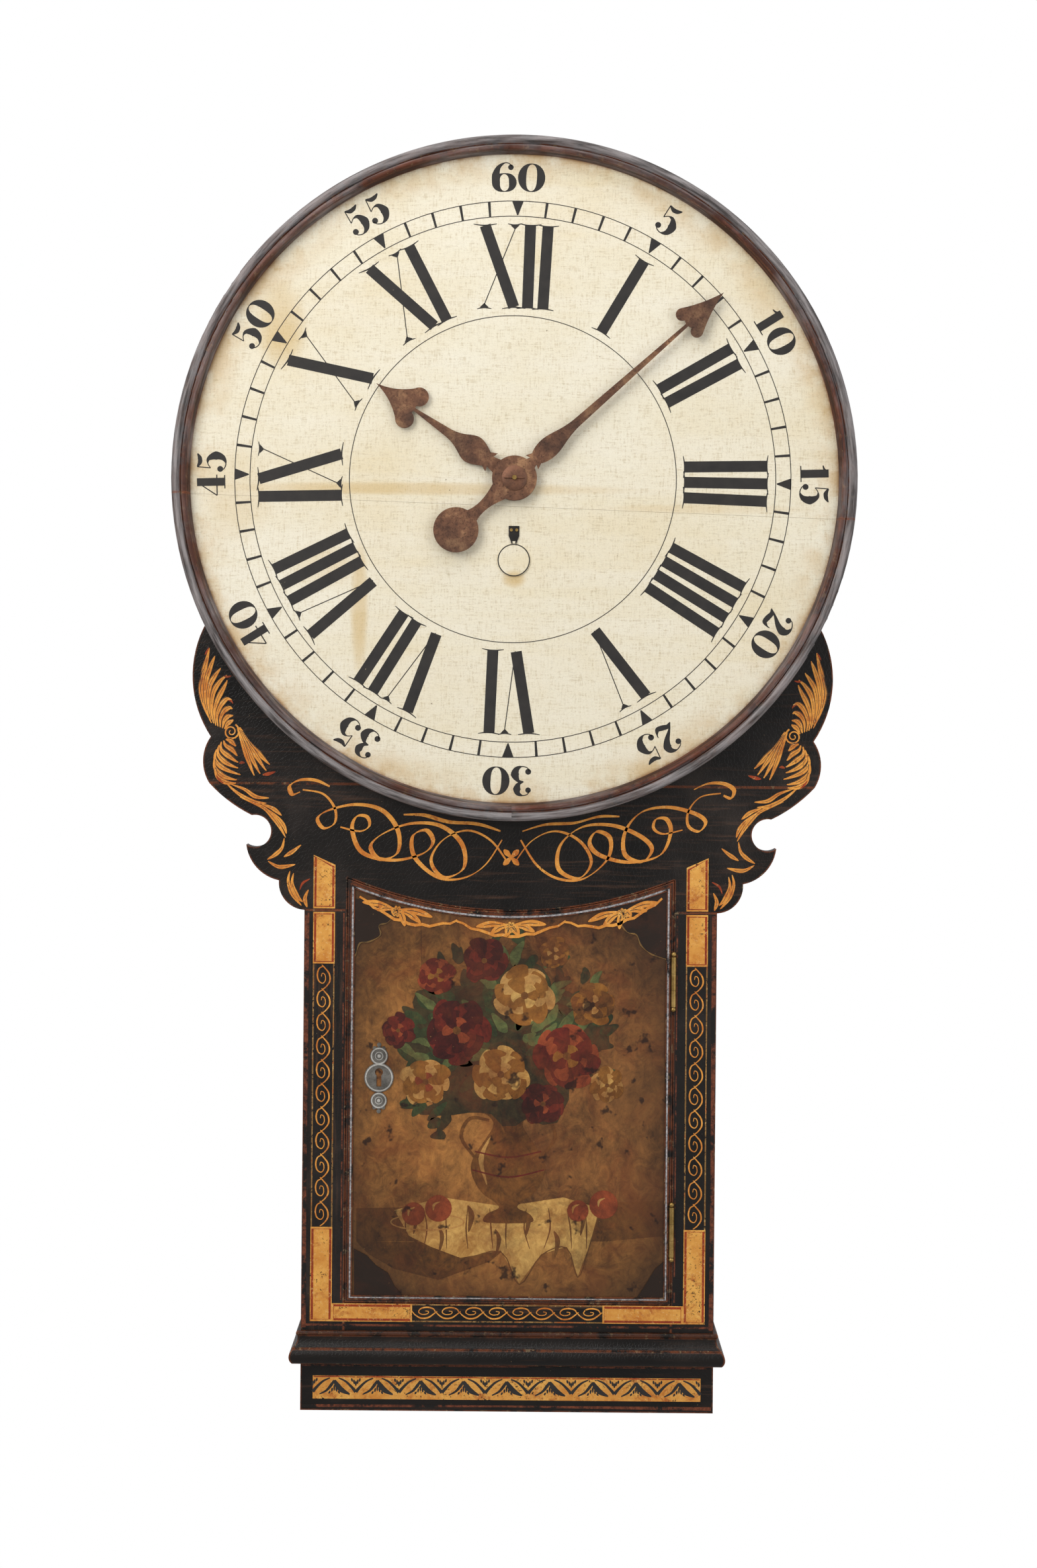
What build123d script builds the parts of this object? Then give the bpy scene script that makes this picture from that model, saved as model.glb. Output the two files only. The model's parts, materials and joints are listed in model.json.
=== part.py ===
from build123d import *
import math
import os

# A wall-hung tavern clock. The origin is the centre of the hanging hole, on the wall plane.
# +Z is up, +X is to the right as seen from the front, and the front faces -Y.
# Heights below are measured up from the foot of the case, depths out from the wall, in mm.

# Overall places; the case is set out from the centre of the dial
dial_height = 1047
hang_rise = 238
case_rise = 270
case_half_width = 232
case_depth = 165
hang_height = dial_height + hang_rise
case_top = dial_height + case_rise

# Boards
back_thick = 12
side_thick = 16
front_thick = 18
floor_thick = 14
floor_lift = 6
board_gap = 0.2
hang_hole_radius = 6
hang_plate_thick = 3
hang_plate_width = 40
hang_plate_drop = 57
hang_plate_rise = 13
hang_screw_drops = (23, 43)
hang_screw_radius = 2.2
hang_screw_head = 1.8
hang_screw_tip = 3
block_size = 20
block_tall = 30

# Trunk front and door
plinth_height = 52
door_foot = 121.8
door_half_width = 183.2
door_gap = 0.8
door_arc_radius = 485
door_top_bevel = 7.5
apron_joint_drop = 343
apron_top_drop = 162
stile_top = dial_height - door_arc_radius
apron_joint = dial_height - apron_joint_drop
apron_top = dial_height - apron_top_drop
bead_inset = 3.5
bead_width = 4.5
bead_height = 2

# Base moulding, its top edge and its projection
moulding_foot = 54.5
moulding_top = 90
moulding_reach = 12.4
mitre_gap = 0.2

# Dial and bezel
dial_radius = 368
dial_thick = 18
dial_fit = 0.3
bezel_wall = 13
bezel_lap = 6
bezel_outer_radius = dial_radius + bezel_wall
bezel_inner_radius = dial_radius - bezel_lap
bezel_rise = 14
joint_drop = 31
joint_tilt = 1.8
centre_hole_radius = 9
winding_drop = 91
winding_hole_radius = 16
batten_width = 25
batten_foot = dial_height - 147
batten_head = dial_height + 243
dial_screw_heights = (dial_height - 87, dial_height + 183)
dial_screw_radius = 2.5
dial_screw_head = 2

# Winding-hole cover and its strap
cover_radius = 18.2
cover_thick = 1.2
cover_lift = 0.4
strap_width = 11.8
strap_length = 18.5
strap_thick = 1
strap_tip_width = 6
knuckle_radius = 1.3
cover_pin_radius = 0.6

# Movement plates
plate_thick = 3
plate_gap = 62
plate_front_gap = 19
plate_foot_half = 62
plate_head_half = 36
plate_head = dial_height + 111
seat_top = dial_height - 149
seat_thick = 18
seat_back = 72
pillar_radius = 4.5
spigot_radius = 3
pillar_foot_x = 49
pillar_foot_height = seat_top + 11
pillar_head_x = 29
pillar_head_height = plate_head - 12
pin_radius = 0.8
pin_length = 14
seat_bolt_radius = 2.5
plate_screw_radius = 1.5
plate_screw_head = 2.6

# Fits between shafts and holes
running_gap = 0.06
seated_gap = 0.05
end_shake = 0.3

# Train: tooth counts and modules
great_teeth = 72
great_module = 1.4
second_pinion_leaves = 12
second_teeth = 48
second_module = 1.25
centre_pinion_leaves = 12
centre_teeth = 60
centre_module = 1.0
third_pinion_leaves = 8
third_teeth = 56
third_module = 0.9
escape_pinion_leaves = 7
cannon_teeth = 36
cannon_module = 1.0
minute_pinion_leaves = 6
hour_teeth = 72
wheel_thick = 2
great_thick = 3
arbor_radius = 2.5
train_arbor_radius = 2
pivot_radius = 1.2
pinion_length = 10
crossing_width = 4

# Escapement
escape_teeth = 30
escape_radius = 20
escape_rise = 56
escape_phase = 0.5
pallet_depth = 0.6
pallet_tip_width = 0.8
pallet_root_width = 2.6
pallet_trim = 0.3
pallet_rise = 4.6
anchor_thick = 6
anchor_half_span = 17.6
anchor_drop = 10.5
anchor_crown = 4.5
anchor_arm_width = 3

# Barrel and gut line
drum_radius = 22
flange_radius = 27
flange_thick = 2
barrel_arbor_radius = 5
barrel_pivot_radius = 4
barrel_square = 7
ratchet_radius = 20
ratchet_teeth = 24
line_radius = 1.2
line_pitch = 2.6
line_turns = 3.75
line_hole_radius = 4
knot_radius = 5

# Weight and pulley
pulley_line_radius = 19
pulley_rim_radius = 21
pulley_width = 8
pulley_pin_radius = 2.5
groove_gap = 0.4
weight_radius = 28
weight_length = 220
weight_foot = 34

# Pendulum
bob_height = 137.3
pendulum_depth = 50
rod_radius = 2.2
bob_radius = 55
bob_thick = 28
crutch_length = 121
strip_thick = 0.4
strip_width = 9
strip_length = 31

# Hinges, lock and escutcheon
hinge_heights = (485, 204)
hinge_length = 56
hinge_radius = 3
hinge_pin_radius = 1.5
hinge_leaf = 1.2
finial_length = 5.8
lock_x = -146.5
lock_height = 374.5
lock_width = 60
lock_tall = 64
lock_deep = 14
lock_wall = 1.5
bolt_length = 40
bolt_tall = 12
bolt_thick = 5
escutcheon_thick = 1.6
keyhole_radius = 4.5
keyhole_slot = 5.5

# Hand positions, in degrees clockwise from twelve
minute_angle = 48
hour_angle = 304
hand_thick = 1.6
washer_radius = 14
hands_pin_length = 24

# Places worked out from the sizes above
frame_back = case_depth - front_thick
case_inner = case_half_width - side_thick
opening_half = door_half_width + door_gap
dial_front = case_depth + dial_thick
plate_front = case_depth - plate_front_gap
plate_inner = plate_front - plate_thick
back_plate_front = plate_inner - plate_gap
back_plate_back = back_plate_front - plate_thick
winding_height = dial_height - winding_drop
line_centre_radius = drum_radius + line_radius + seated_gap
line_depth = back_plate_front + 10 + flange_thick + line_radius + 0.1 + line_pitch * line_turns
pulley_x = line_centre_radius + pulley_line_radius
hour_hand_depth = dial_front + 4
minute_hand_depth = hour_hand_depth + 4.4


def up(height):
    return height - hang_height


def wall_plane(depth):
    return Plane.XZ.offset(depth)


def panel(left, right, low, high, back, front, mode=Mode.ADD):
    with BuildSketch(wall_plane(back)) as outline:
        with Locations(((left + right) / 2, up((low + high) / 2))):
            Rectangle(right - left, high - low)
    extrude(outline.sketch, amount=front - back, mode=mode)


def rod(x, height, radius, back, front, mode=Mode.ADD):
    with BuildSketch(wall_plane(back)) as section:
        with Locations((x, up(height))):
            Circle(radius)
    extrude(section.sketch, amount=front - back, mode=mode)


def cross_bar(x_low, x_high, height, depth, radius, mode=Mode.ADD):
    bar_plane = Plane(origin=(x_low, -depth, up(height)), x_dir=(0, 1, 0), z_dir=(1, 0, 0))
    with BuildSketch(bar_plane) as section:
        Circle(radius)
    extrude(section.sketch, amount=x_high - x_low, mode=mode)


def post(x, depth, low, high, radius, mode=Mode.ADD):
    with BuildSketch(Plane.XY.offset(up(low))) as section:
        with Locations((x, -depth)):
            Circle(radius)
    extrude(section.sketch, amount=high - low, mode=mode)


def save(piece, label):
    piece.part.label = label
    export_step(piece.part, "parts/" + label + ".step")


# Tooth outline: straight flanks, thinned so that a pair turns freely at its true ratio
def tooth_points(teeth, module, is_pinion, phase):
    pitch_radius = teeth * module / 2
    tip_radius = pitch_radius + (0.8 if is_pinion else 0.9) * module
    root_radius = pitch_radius - (1.25 if is_pinion else 1.15) * module
    pitch = 2 * math.pi / teeth
    tip_half = (0.2 if is_pinion else 0.22) * pitch / 2
    root_half = (0.42 if is_pinion else 0.52) * pitch / 2
    points = []
    for tooth in range(teeth):
        centre = math.radians(phase) + tooth * pitch
        for radius, turn in (
            (root_radius, -root_half),
            (tip_radius, -tip_half),
            (tip_radius, tip_half),
            (root_radius, root_half),
        ):
            points.append((radius * math.cos(centre + turn), radius * math.sin(centre + turn)))
    return points


def toothed(x, height, points, back, front):
    with BuildSketch(wall_plane(back)) as outline:
        with Locations((x, up(height))):
            Polygon(*points, align=None)
    extrude(outline.sketch, amount=front - back)


def crossings(x, height, rim_radius, hub_radius, back, front):
    with BuildSketch(wall_plane(back)) as windows:
        with Locations((x, up(height))):
            Circle(rim_radius)
            Circle(hub_radius, mode=Mode.SUBTRACT)
            Rectangle(2 * rim_radius, crossing_width, mode=Mode.SUBTRACT)
            Rectangle(crossing_width, 2 * rim_radius, mode=Mode.SUBTRACT)
    extrude(windows.sketch, amount=front - back, mode=Mode.SUBTRACT)


# Where two arbors at known distances from two others cross, on the given side of the line
def arbor_between(low, high, from_low, from_high, side):
    rise = high - low
    along = (from_low ** 2 - from_high ** 2 + rise ** 2) / (2 * rise)
    across = math.sqrt(from_low ** 2 - along ** 2)
    return side * across, low + along


def facing(start, end):
    return math.degrees(math.atan2(end[1] - start[1], end[0] - start[0]))


# Arbor places, as x and height
barrel_place = (0, winding_height)
centre_place = (0, dial_height)
escape_place = (0, dial_height + escape_rise)
anchor_place = (0, escape_place[1] + escape_radius * math.sqrt(2))
second_place = arbor_between(
    winding_height,
    dial_height,
    (great_teeth + second_pinion_leaves) * great_module / 2,
    (second_teeth + centre_pinion_leaves) * second_module / 2,
    -1,
)
third_place = arbor_between(
    dial_height,
    escape_place[1],
    (centre_teeth + third_pinion_leaves) * centre_module / 2,
    (third_teeth + escape_pinion_leaves) * third_module / 2,
    1,
)
motion_distance = cannon_teeth * cannon_module
hour_module = 2 * motion_distance / (hour_teeth + minute_pinion_leaves)
minute_place = (motion_distance, dial_height)
anchor_height = anchor_place[1]

# Depths of the wheels between the plates
great_back = plate_inner - 9
second_back = plate_inner - 22
centre_back = plate_inner - 32
third_back = plate_inner - 44
escape_back = plate_inner - 54

os.makedirs("parts", exist_ok=True)

# Backboard, with the hole that the wall hook goes through
with BuildPart() as backboard:
    panel(-case_half_width, case_half_width, 0, case_top, 0, back_thick)
    rod(0, hang_height, hang_hole_radius, 0, back_thick, Mode.SUBTRACT)
    for step in hang_screw_drops:
        rod(
            0,
            hang_height - step,
            hang_screw_radius + seated_gap,
            hang_screw_tip,
            back_thick,
            Mode.SUBTRACT,
        )
save(backboard, "backboard")


# Trunk sides, stepped forward above the apron to meet the dial
batten_depth = case_depth - dial_thick / 2


def trunk_side(hand):
    inner = hand * case_inner
    outer = hand * case_half_width
    left = min(inner, outer)
    right = max(inner, outer)
    panel(left, right, 0, apron_top, back_thick, frame_back)
    panel(left, right, apron_top, case_top, back_thick, case_depth)
    for height in dial_screw_heights:
        cross_bar(
            left, right, height, batten_depth, dial_screw_radius + seated_gap, Mode.SUBTRACT
        )


with BuildPart() as trunk_side_left:
    trunk_side(-1)
save(trunk_side_left, "trunk_side_left")

with BuildPart() as trunk_side_right:
    trunk_side(1)
save(trunk_side_right, "trunk_side_right")

with BuildPart() as top_board:
    panel(-case_inner, case_inner, case_top - side_thick, case_top, back_thick, case_depth)
save(top_board, "top_board")

with BuildPart() as bottom_board:
    panel(-case_inner, case_inner, floor_lift, floor_lift + floor_thick, back_thick, frame_back)
save(bottom_board, "bottom_board")

# Seat board for the movement, with holes for the two falls of the line and for the seat bolts
seat_front = plate_front + 0.7
seat_bolt_depth = (plate_inner + back_plate_front) / 2
with BuildPart() as seat_board:
    panel(-case_inner, case_inner, seat_top - seat_thick, seat_top, seat_back, seat_front)
    for line_x in (line_centre_radius, line_centre_radius + 2 * pulley_line_radius):
        post(line_x, line_depth, seat_top - seat_thick, seat_top, line_hole_radius, Mode.SUBTRACT)
    for bolt_x in (-pillar_foot_x, pillar_foot_x):
        post(
            bolt_x,
            seat_bolt_depth,
            seat_top - seat_thick,
            seat_top,
            seat_bolt_radius + seated_gap,
            Mode.SUBTRACT,
        )
save(seat_board, "seat_board")

# Corner blocks at the foot, and the two cleats that carry the seat board
with BuildPart() as inner_blocks:
    block_foot = floor_lift + floor_thick
    for hand in (-1, 1):
        left = min(hand * case_inner, hand * (case_inner - block_size))
        right = left + block_size
        panel(left, right, block_foot, block_foot + block_tall, back_thick, back_thick + block_size)
        panel(left, right, block_foot, block_foot + block_tall, frame_back - block_size, frame_back)
        cleat_top = seat_top - seat_thick
        panel(left, right, cleat_top - block_size, cleat_top, seat_back, seat_front)
save(inner_blocks, "inner_blocks")

# Stiles, bottom rail and plinth board
def hinge_recess(x_low, x_high):
    for height in hinge_heights:
        panel(
            x_low,
            x_high,
            height - hinge_length / 2 - seated_gap,
            height + hinge_length / 2 + seated_gap,
            frame_back + 2,
            case_depth,
            Mode.SUBTRACT,
        )


with BuildPart() as stile_left:
    panel(-case_half_width, -opening_half, plinth_height, stile_top, frame_back, case_depth)
save(stile_left, "stile_left")

with BuildPart() as stile_right:
    panel(opening_half, case_half_width, plinth_height, stile_top, frame_back, case_depth)
    hinge_recess(opening_half, opening_half + hinge_leaf)
save(stile_right, "stile_right")

with BuildPart() as bottom_rail:
    panel(-opening_half, opening_half, plinth_height, door_foot - door_gap, frame_back, case_depth)
save(bottom_rail, "bottom_rail")

with BuildPart() as plinth_front:
    panel(-case_half_width, case_half_width, 0, plinth_height, frame_back, case_depth)
save(plinth_front, "plinth_front")

# Base moulding: bead, cove and torus, in three mitred lengths
cove_foot = moulding_foot + 17.5


def moulding_section(plane):
    with BuildSketch(plane) as section:
        with BuildLine():
            Polyline((0, up(moulding_foot)), (0, up(moulding_top)), (3, up(moulding_top)))
            ThreePointArc(
                (3, up(moulding_top)), (5, up(moulding_top - 2.5)), (3, up(moulding_top - 5))
            )
            Line((3, up(moulding_top - 5)), (3.5, up(moulding_top - 5)))
            ThreePointArc(
                (3.5, up(moulding_top - 5)), (4.8, up(cove_foot + 4.5)), (9, up(cove_foot))
            )
            Line((9, up(cove_foot)), (9, up(cove_foot - 1.5)))
            ThreePointArc(
                (9, up(cove_foot - 1.5)),
                (moulding_reach, up(moulding_foot + 8)),
                (9, up(moulding_foot)),
            )
            Line((9, up(moulding_foot)), (0, up(moulding_foot)))
        make_face()
    return section.sketch


mitre_right = Plane(
    origin=(case_half_width, -case_depth, 0), x_dir=(0, 0, 1), z_dir=(1, 1, 0)
)
mitre_left = Plane(
    origin=(-case_half_width, -case_depth, 0), x_dir=(0, 0, 1), z_dir=(-1, 1, 0)
)
with BuildPart() as base_moulding:
    moulding_end = case_half_width + moulding_reach + 5
    front_plane = Plane(
        origin=(moulding_end, -case_depth, 0), x_dir=(0, -1, 0), z_dir=(-1, 0, 0)
    )
    with BuildPart(mode=Mode.PRIVATE) as front_length:
        extrude(moulding_section(front_plane), amount=2 * moulding_end)
        split(bisect_by=mitre_right.offset(-mitre_gap / 2), keep=Keep.BOTTOM)
        split(bisect_by=mitre_left.offset(-mitre_gap / 2), keep=Keep.BOTTOM)
    with BuildPart(mode=Mode.PRIVATE) as right_length:
        side_plane = Plane(origin=(case_half_width, 0, 0), x_dir=(1, 0, 0), z_dir=(0, -1, 0))
        extrude(moulding_section(side_plane), amount=case_depth + moulding_reach + 5)
        split(bisect_by=mitre_right.offset(mitre_gap / 2), keep=Keep.TOP)
    add(front_length.part)
    add(right_length.part)
    add(mirror(right_length.part, about=Plane.YZ, mode=Mode.PRIVATE))
save(base_moulding, "base_moulding")


# Apron in two boards; the ears are one outline, cut at the joint between the boards
# Each arc is given by its middle and its end: reach past the trunk's side, drop below the dial
ear_reach = 113
ear_arcs = (
    ((128, 226), (107, 291)),
    ((115.5, 317), (108.5, apron_joint_drop)),
    ((87, 362.5), (60, 379)),
    ((38.5, 400), (66, 412)),
    ((52.5, 439.5), (29, 452)),
    ((22, 474), (0, door_arc_radius)),
)


def ear_edge(hand):
    def at(reach, drop):
        return (hand * (case_half_width + reach), up(dial_height - drop))

    start = at(ear_reach + 0.2, apron_top_drop + 1)
    Line(at(ear_reach, apron_top_drop), start)
    for middle, end in ear_arcs:
        ThreePointArc(start, at(*middle), at(*end))
        start = at(*end)


apron_arc = door_arc_radius - door_gap
arc_corner = dial_height - math.sqrt(apron_arc ** 2 - opening_half ** 2)


def apron_board(low, high):
    with BuildSketch(wall_plane(frame_back)) as outline:
        with BuildLine():
            top_half = case_half_width + ear_reach
            Line((-top_half, up(apron_top)), (top_half, up(apron_top)))
            ear_edge(1)
            ear_edge(-1)
            for hand in (-1, 1):
                Polyline(
                    (hand * case_half_width, up(stile_top)),
                    (hand * opening_half, up(stile_top)),
                    (hand * opening_half, up(arc_corner)),
                )
            ThreePointArc(
                (-opening_half, up(arc_corner)),
                (0, up(dial_height - apron_arc)),
                (opening_half, up(arc_corner)),
            )
        make_face()
        with Locations((0, up((low + high) / 2))):
            Rectangle(3 * top_half, high - low, mode=Mode.INTERSECT)
    extrude(outline.sketch, amount=front_thick)


with BuildPart() as apron_upper:
    apron_board(apron_joint + board_gap / 2, apron_top)
save(apron_upper, "apron_upper")

with BuildPart() as apron_lower:
    apron_board(0, apron_joint - board_gap / 2)
save(apron_lower, "apron_lower")

# Iron hanging plate on the backboard, its hole in line with the backboard's
with BuildPart() as hanging_plate:
    panel(
        -hang_plate_width / 2,
        hang_plate_width / 2,
        hang_height - hang_plate_drop,
        hang_height + hang_plate_rise,
        back_thick,
        back_thick + hang_plate_thick,
    )
    fillet(hanging_plate.edges().filter_by(Axis.Y), radius=8)
    rod(0, hang_height, hang_hole_radius, back_thick, back_thick + hang_plate_thick, Mode.SUBTRACT)
    for step in hang_screw_drops:
        rod(
            0,
            hang_height - step,
            hang_screw_radius + seated_gap,
            back_thick,
            back_thick + hang_plate_thick,
            Mode.SUBTRACT,
        )
save(hanging_plate, "hanging_plate")

# Wood screws: two in the hanging plate, four through the sides into the dial battens
with BuildPart() as case_screws:
    plate_face = back_thick + hang_plate_thick
    for step in hang_screw_drops:
        rod(0, hang_height - step, hang_screw_radius, hang_screw_tip + 0.5, plate_face)
        rod(0, hang_height - step, 2 * hang_screw_radius, plate_face, plate_face + hang_screw_head)
    for hand in (-1, 1):
        for height in dial_screw_heights:
            tip = case_inner - batten_width + 6
            cross_bar(
                min(hand * tip, hand * case_half_width),
                max(hand * tip, hand * case_half_width),
                height,
                batten_depth,
                dial_screw_radius,
            )
            head_end = case_half_width + dial_screw_head
            cross_bar(
                min(hand * case_half_width, hand * head_end),
                max(hand * case_half_width, hand * head_end),
                height,
                batten_depth,
                2 * dial_screw_radius,
            )
save(case_screws, "case_screws")

# Dial of two horizontal planks; the joint runs slightly down to the right, as does the bezel's
lean = math.radians(joint_tilt)
joint_plane = Plane(
    origin=(0, 0, up(dial_height) - joint_drop),
    x_dir=(0, 1, 0),
    z_dir=(math.sin(lean), 0, math.cos(lean)),
)
with BuildPart() as dial_planks:
    with BuildPart(mode=Mode.PRIVATE) as dial_disc:
        rod(0, dial_height, dial_radius, case_depth, dial_front)
        rod(0, dial_height, centre_hole_radius, case_depth, dial_front, Mode.SUBTRACT)
        rod(0, winding_height, winding_hole_radius, case_depth, dial_front, Mode.SUBTRACT)
    add(
        split(
            dial_disc.part,
            bisect_by=joint_plane.offset(board_gap / 2),
            keep=Keep.TOP,
            mode=Mode.PRIVATE,
        )
    )
    add(
        split(
            dial_disc.part,
            bisect_by=joint_plane.offset(-board_gap / 2),
            keep=Keep.BOTTOM,
            mode=Mode.PRIVATE,
        )
    )
save(dial_planks, "dial_planks")

# Upright battens across the back of the dial, just inside the trunk sides
with BuildPart() as dial_battens:
    for hand in (-1, 1):
        outer = hand * (case_inner - dial_fit)
        inner = hand * (case_inner - batten_width)
        panel(
            min(outer, inner),
            max(outer, inner),
            batten_foot,
            batten_head,
            case_depth - dial_thick,
            case_depth,
        )
        for height in dial_screw_heights:
            tip = case_inner - batten_width + 5.5
            cross_bar(
                min(hand * tip, outer),
                max(hand * tip, outer),
                height,
                batten_depth,
                dial_screw_radius + seated_gap,
                Mode.SUBTRACT,
            )
save(dial_battens, "dial_battens")


# Bezel section: outer torus, quirk, reed and an inner slope down to the dial
def bezel_ring():
    rebate = dial_radius + dial_fit
    crown = dial_front + bezel_rise
    outer = bezel_outer_radius
    inner = bezel_inner_radius
    with BuildSketch(Plane.XY.offset(up(dial_height))) as section:
        with BuildLine():
            Polyline(
                (rebate, -(dial_front + board_gap)),
                (rebate, -case_depth),
                (outer, -case_depth),
                (outer, -(crown - 8)),
            )
            ThreePointArc(
                (outer, -(crown - 8)), (outer - 5, -crown), (outer - 9.5, -(crown - 6))
            )
            Line((outer - 9.5, -(crown - 6)), (outer - 10, -(crown - 4.5)))
            ThreePointArc(
                (outer - 10, -(crown - 4.5)),
                (outer - 13.2, -(crown - 0.6)),
                (outer - 16.2, -(crown - 4.5)),
            )
            ThreePointArc(
                (outer - 16.2, -(crown - 4.5)),
                ((outer - 16.2 + inner) / 2 - 0.4, -(crown - 8.2)),
                (inner, -(dial_front + 2.6)),
            )
            Polyline(
                (inner, -(dial_front + 2.6)),
                (inner, -(dial_front + board_gap)),
                (rebate, -(dial_front + board_gap)),
            )
        make_face()
    revolve(section.sketch, axis=Axis((0, 0, up(dial_height)), (0, 1, 0)), revolution_arc=360)


with BuildPart() as bezel_upper:
    bezel_ring()
    split(bisect_by=joint_plane.offset(board_gap / 2), keep=Keep.TOP)
save(bezel_upper, "bezel_upper")

with BuildPart() as bezel_lower:
    bezel_ring()
    split(bisect_by=joint_plane.offset(-board_gap / 2), keep=Keep.BOTTOM)
save(bezel_lower, "bezel_lower")

# Strap above the winding hole, nailed to the dial, with the outer knuckles and the pin
hinge_line = winding_height + cover_radius + 1.5
hinge_line_depth = dial_front + knuckle_radius + 0.2
inner_knuckle = strap_tip_width / 4
with BuildPart() as cover_strap:
    with BuildSketch(wall_plane(dial_front)) as outline:
        with BuildLine():
            Polyline(
                (-strap_tip_width / 2, up(hinge_line)),
                (-strap_width / 2, up(hinge_line + strap_length * 0.4)),
                (-strap_width / 2, up(hinge_line + strap_length)),
                (strap_width / 2, up(hinge_line + strap_length)),
                (strap_width / 2, up(hinge_line + strap_length * 0.4)),
                (strap_tip_width / 2, up(hinge_line)),
                (-strap_tip_width / 2, up(hinge_line)),
            )
        make_face()
    extrude(outline.sketch, amount=strap_thick)
    panel(
        -inner_knuckle - 0.2,
        inner_knuckle + 0.2,
        hinge_line - 1,
        hinge_line + knuckle_radius + 0.3,
        dial_front - 1,
        dial_front + 4,
        Mode.SUBTRACT,
    )
    for hand in (-1, 1):
        ends = sorted((hand * (inner_knuckle + 0.2), hand * strap_tip_width / 2))
        cross_bar(ends[0], ends[1], hinge_line, hinge_line_depth, knuckle_radius)
        rod(
            hand * strap_width / 4,
            hinge_line + strap_length - 4.5,
            1.6,
            dial_front + strap_thick,
            dial_front + strap_thick + 0.6,
        )
    cross_bar(
        -inner_knuckle - 0.4, inner_knuckle + 0.4, hinge_line, hinge_line_depth, cover_pin_radius
    )
save(cover_strap, "cover_strap")

with BuildPart() as winding_cover:
    rod(
        0,
        winding_height,
        cover_radius,
        dial_front + cover_lift,
        dial_front + cover_lift + cover_thick,
    )
    panel(
        -inner_knuckle,
        inner_knuckle,
        hinge_line - 3,
        hinge_line,
        dial_front + cover_lift,
        dial_front + cover_lift + cover_thick,
    )
    cross_bar(-inner_knuckle, inner_knuckle, hinge_line, hinge_line_depth, knuckle_radius)
    cross_bar(
        -inner_knuckle - 1,
        inner_knuckle + 1,
        hinge_line,
        hinge_line_depth,
        cover_pin_radius + running_gap,
        Mode.SUBTRACT,
    )
save(winding_cover, "winding_cover")

# Movement plates: tall, tapering to the top, arched between the feet
pillar_places = [
    (hand * x, height)
    for x, height in ((pillar_foot_x, pillar_foot_height), (pillar_head_x, pillar_head_height))
    for hand in (-1, 1)
]


def movement_plate(back):
    with BuildSketch(wall_plane(back)) as outline:
        with BuildLine():
            Polyline(
                (-plate_foot_half + 22, up(seat_top)),
                (-plate_foot_half, up(seat_top)),
                (-plate_head_half, up(plate_head)),
                (plate_head_half, up(plate_head)),
                (plate_foot_half, up(seat_top)),
                (plate_foot_half - 22, up(seat_top)),
            )
            ThreePointArc(
                (plate_foot_half - 22, up(seat_top)),
                (0, up(seat_top + 10)),
                (-plate_foot_half + 22, up(seat_top)),
            )
        make_face()
        head_corners = outline.vertices().group_by(Axis.Y)[-1]
        fillet(head_corners, radius=9)
    extrude(outline.sketch, amount=plate_thick)
    for x, height in pillar_places:
        rod(x, height, spigot_radius + seated_gap, back, back + plate_thick, Mode.SUBTRACT)


bridge_screw_reach = 28
cock_screw_x = 18
cock_low = anchor_height - 8
cock_high = anchor_height + 12
with BuildPart() as front_plate:
    movement_plate(plate_inner)
    for x, height in (second_place, third_place, escape_place, anchor_place):
        rod(x, height, pivot_radius + running_gap, plate_inner, plate_front, Mode.SUBTRACT)
    rod(*barrel_place, barrel_pivot_radius + running_gap, plate_inner, plate_front, Mode.SUBTRACT)
    rod(*centre_place, arbor_radius + running_gap, plate_inner, plate_front, Mode.SUBTRACT)
    for hand in (-1, 1):
        rod(
            0,
            dial_height + hand * bridge_screw_reach,
            plate_screw_radius + seated_gap,
            plate_inner,
            plate_front,
            Mode.SUBTRACT,
        )
    rod(*minute_place, pivot_radius, plate_front - 1, plate_front + 14.5)
save(front_plate, "front_plate")

with BuildPart() as back_plate:
    movement_plate(back_plate_back)
    for x, height in (second_place, centre_place, third_place, escape_place):
        rod(
            x, height, pivot_radius + running_gap, back_plate_back, back_plate_front, Mode.SUBTRACT
        )
    rod(
        *barrel_place, spigot_radius + running_gap, back_plate_back, back_plate_front, Mode.SUBTRACT
    )
    rod(*anchor_place, arbor_radius + 1.5, back_plate_back, back_plate_front, Mode.SUBTRACT)
    for hand in (-1, 1):
        rod(
            hand * cock_screw_x,
            anchor_height,
            plate_screw_radius + seated_gap,
            back_plate_back,
            back_plate_front,
            Mode.SUBTRACT,
        )
save(back_plate, "back_plate")

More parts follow.
